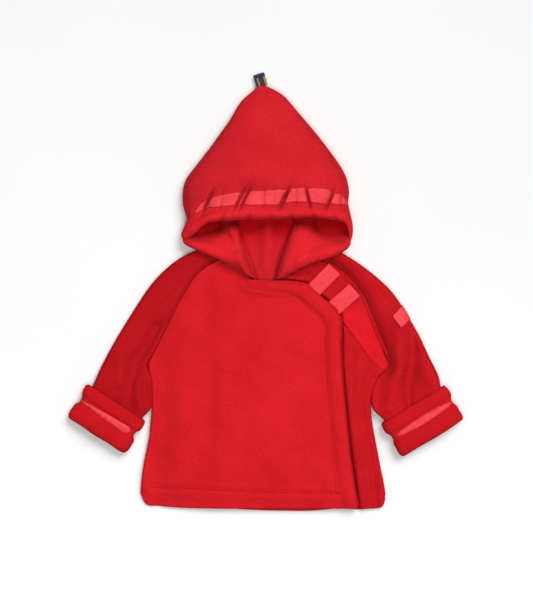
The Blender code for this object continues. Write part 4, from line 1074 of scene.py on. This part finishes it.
class Shader:
    """Small helper that adds nodes to a material and joins them."""

    def __init__(self, name):
        self.material = bpy.data.materials.new(name)
        self.material.use_nodes = True
        self.tree = self.material.node_tree
        self.place = self.add("TexCoord").outputs

    def fill(self, node, inputs):
        """Gives each input a number, a colour or another node's output."""
        for name, value in inputs.items():
            if isinstance(value, bpy.types.NodeSocket):
                self.tree.links.new(value, node.inputs[name])
            else:
                node.inputs[name].default_value = value

    def add(self, kind, inputs={}, **settings):
        node = self.tree.nodes.new("ShaderNode" + kind)
        for key, value in settings.items():
            setattr(node, key, value)
        self.fill(node, inputs)
        return node

    def noise(self, scale, detail=3.0, rough=0.55, distortion=0.0):
        return self.add("TexNoise", {
            "Scale": scale, "Detail": detail, "Roughness": rough, "Distortion": distortion,
            "Vector": self.place["Object"]}).outputs["Fac"]

    def parts(self, place):
        """x, y and z of a kind of coordinates."""
        return self.add("SeparateXYZ", {0: self.place[place]}).outputs

    def maths(self, operation, *values):
        return self.add("Math", dict(enumerate(values)), operation=operation).outputs[0]

    times = partialmethod(maths, "MULTIPLY")
    plus = partialmethod(maths, "ADD")
    minus = partialmethod(maths, "SUBTRACT")

    def wave(self, place, length):
        return self.maths("SINE", self.times(place, 2 * math.pi / length))

    def ramp(self, source, *stops):
        node = self.add("ValToRGB", {"Fac": source})
        elements = node.color_ramp.elements
        while len(elements) < len(stops):
            elements.new(0.5)
        for element, (position, colour) in zip(elements, stops):
            element.position, element.color = position, colour
        return node.outputs["Color"]

    def step(self, value, start, end):
        """0 up to start and 1 from end on."""
        return self.ramp(value, (start, BLACK), (end, WHITE))

    def bump(self, height, distance, strength=1.0, **under):
        inputs = {"Distance": distance, "Strength": strength, "Height": height}
        return self.add("Bump", {**inputs, **under}).outputs["Normal"]

    def scale(self, colour, share):
        return self.add("VectorMath", {0: colour, "Scale": share}, operation="SCALE").outputs[0]

    def scaled(self, colour, share, least, most):
        return self.scale(colour, self.plus(self.times(share, most - least), least))

    def painted_slope_shade(self, colour, power, least):
        """Colour with painted shade: darker where the cloth turns away from the up direction."""
        up = self.maths("MAXIMUM", self.parts("Normal")[2], 0.0)
        return self.scale(colour, self.maths("MAXIMUM", self.maths("POWER", up, power), least))

    def painted_brim_light(self, colour, start, width):
        """Painted light: lighter colour from a distance down the UV map, on the hood's brim, but not near the
        map's two sides.
        """
        u, v, _ = self.parts("UV")
        side = self.maths("ABSOLUTE", self.minus(u, width / 2))
        inner = self.minus(1.0, self.step(side, width / 2 - 0.038, width / 2 - 0.022))
        return self.scaled(colour, self.times(self.step(v, start, start + 0.012), inner), 0.95, 1.11)

    def painted_yoke_light(self, colour):
        """Painted light: lighter colour on the yoke of the underlap, beyond its seam."""
        inputs = {0: self.place["Object"], 1: (0.776, 0.63, 0.0)}
        beyond = self.add("VectorMath", inputs, operation="DOT_PRODUCT").outputs["Value"]
        low = self.step(self.times(self.parts("Object")[1], -1.0), 0.008, 0.03)
        return self.scaled(colour, self.times(self.step(beyond, 0.0497, 0.0517), low), 1.0, 1.28)

    def painted_hollow_shade(self, colour):
        """Painted shade in the hood's hollow: purer red on its floor, where most light has met the pile
        before, and darker in its two pockets."""
        x, y, z = self.parts("Object")
        under_brim = self.minus(self.step(y, 0.050, 0.086), self.step(y, 0.094, 0.104))
        deep = self.times(self.minus(1.0, self.step(z, 0.006, 0.017)), under_brim)
        tint = self.ramp(deep, (0.0, WHITE), (1.0, (1.0, 0.22, 0.28, 1.0)))
        tinted = self.add("VectorMath", {0: colour, 1: tint}, operation="MULTIPLY").outputs[0]
        pocket = self.times(deep, self.step(self.maths("ABSOLUTE", x), 0.03, 0.06))
        return self.scaled(tinted, pocket, 1.0, 0.66)

    def finish(self, colour, normal, roughness, specular, sheen=0.0):
        self.fill(self.tree.nodes["Principled BSDF"], {
            "Base Color": colour, "Normal": normal, "Roughness": roughness, "Specular IOR Level": specular,
            "Sheen Weight": sheen, "Sheen Roughness": 0.5, "Sheen Tint": (1.0, 0.25, 0.3, 1.0)})
        return self.material


def fleece(name, *tones, nap=0.0008):
    """Brushed pile in a dark, a middle and a light tone: fine clumps of fibre, with soft patches where it
    has been stroked over."""
    shader = Shader(name)
    clumps, tufts = shader.noise(900, 4, 0.65, 0.4), shader.noise(300, 3, 0.6, 0.6)
    patches = shader.noise(22, 3, 0.5)
    fine = shader.times(clumps, 0.4)
    mixed = shader.plus(fine, shader.plus(shader.times(tufts, 0.3), shader.times(patches, 0.3)))
    # painted shade on the slopes of the pile
    colour = shader.painted_slope_shade(shader.ramp(mixed, *zip((0.34, 0.5, 0.66), map(linear, tones))), 1.4, 0.7)
    if name == "fleece_hood":
        # painted light on the brim, and painted shade in the hollow
        colour = shader.painted_hollow_shade(shader.painted_brim_light(colour, start=0.16, width=0.368))
    if name == "fleece_underlap":
        # painted light on the yoke
        colour = shader.painted_yoke_light(colour)
    normal = shader.bump(clumps, nap, 0.6, Normal=shader.bump(tufts, nap * 1.6, 0.55))
    return shader.finish(colour, normal, roughness=0.95, specular=0.08, sheen=0.04)


def ribbon(name, *tones):
    """Fine cross-ribbed woven tape with a soft shine."""
    shader = Shader(name)
    u, v, _ = shader.parts("UV")
    ribs, grain = shader.wave(u, 0.0011), shader.wave(v, 0.0008)
    weave = shader.plus(shader.times(ribs, 0.36), shader.times(grain, 0.12))
    tone = shader.plus(shader.times(weave, 0.35), shader.noise(160, 2))
    # painted shade on the slopes of the tape
    colour = shader.painted_slope_shade(shader.ramp(tone, *zip((0.3, 0.7), map(linear, tones))), 1.5, 0.6)
    bump = shader.bump(weave, 0.00025, 0.6)
    return shader.finish(colour, bump, roughness=0.5, specular=0.35, sheen=0.1)


def striped(name):
    """Plain woven stripes along the loop, in generic colours."""
    shader = Shader(name)
    u, v, _ = shader.parts("UV")
    navy, olive, wine = map(linear, ((44, 48, 84), (150, 148, 66), (120, 30, 44)))
    far = shader.maths("LESS_THAN", shader.maths("ABSOLUTE", shader.minus(v, 0.0172)), 0.0052)
    across = shader.times(shader.maths("DIVIDE", u, 0.0148), shader.minus(1.0, far))
    stops = zip((0.0, 0.2, 0.36, 0.5, 0.66, 0.8), (navy, olive, navy, wine, navy, olive))
    stripes = shader.ramp(across, *stops)
    stripes.node.color_ramp.interpolation = "CONSTANT"
    bump = shader.bump(shader.wave(v, 0.0007), 0.0002, 0.6)
    return shader.finish(stripes, bump, roughness=0.7, specular=0.25)


# ------------ floor, light and camera

def stage_and_light():
    bpy.ops.mesh.primitive_plane_add(size=8, location=(0, 0, -0.0002))
    floor = bpy.context.object
    floor.name = "floor"
    shader = Shader("floor_paper")
    colour = shader.ramp(shader.noise(3, 2), (0.3, linear((243, 243, 243))), (0.7, linear((246, 246, 246))))
    grain = shader.bump(shader.noise(40, 2), 0.0001, 0.1)
    floor.data.materials.append(shader.finish(colour, grain, roughness=0.9, specular=0.1))

    world = bpy.data.worlds.new("studio")
    bpy.context.scene.world = world
    world.use_nodes = True
    background = world.node_tree.nodes["Background"].inputs
    background["Color"].default_value, background["Strength"].default_value = WHITE, 0.3

    sun = bpy.data.lights.new("window", "SUN")
    sun.energy, sun.angle = 2.15, math.radians(38)
    put("window", sun, towards=(0.55, 0.80, 1.0))
    panel = bpy.data.lights.new("softbox", "AREA")
    panel.shape, panel.size, panel.energy = "DISK", 1.2, 11.0
    put("softbox", panel, (0.0, -0.5, 1.65), (0.0, -0.5, 1.65))


def aim_camera():
    data = bpy.data.cameras.new("camera")
    data.lens = 120
    bpy.context.scene.camera = put("camera", data, (0.00065, -0.0195, 2.673))
    bpy.context.scene.view_settings.view_transform = "Standard"


def main():
    cloth = {name: fleece("fleece_" + name, *tones) for name, tones in FLEECE.items()}
    tape = ribbon("coral_tape", (236, 48, 60), (250, 60, 70))
    cuff_tape = ribbon("cuff_tape", (224, 43, 55), (244, 55, 65))
    build_back(cloth["body"])
    left, right = build_front_left(cloth["underlap"]), build_front_right(cloth["body"])
    sleeves = {side: build_sleeve(side, cloth["sleeve_" + side]) for side in SIGN}
    for side in SIGN:
        build_cuff(side, cloth["cuff"], cuff_tape)
    build_hood_tape(surface_of(build_hood(cloth["hood"])), tape)
    build_loop(striped("striped_tape"))
    for name in TABS:
        build_tab(name, tape)
    build_label(sleeves["right"], tape)
    thread = fleece("thread", (170, 16, 25), (188, 21, 30), (204, 28, 37), nap=0.0001)
    for front, side, stitch in (("front_right", right, FACING_STITCH), ("front_left", left, YOKE_STITCH)):
        build_sewing("stitches_" + front, [stitch, HEM_STITCH[front]], surface_of(side), thread)
    stage_and_light()
    aim_camera()


main()
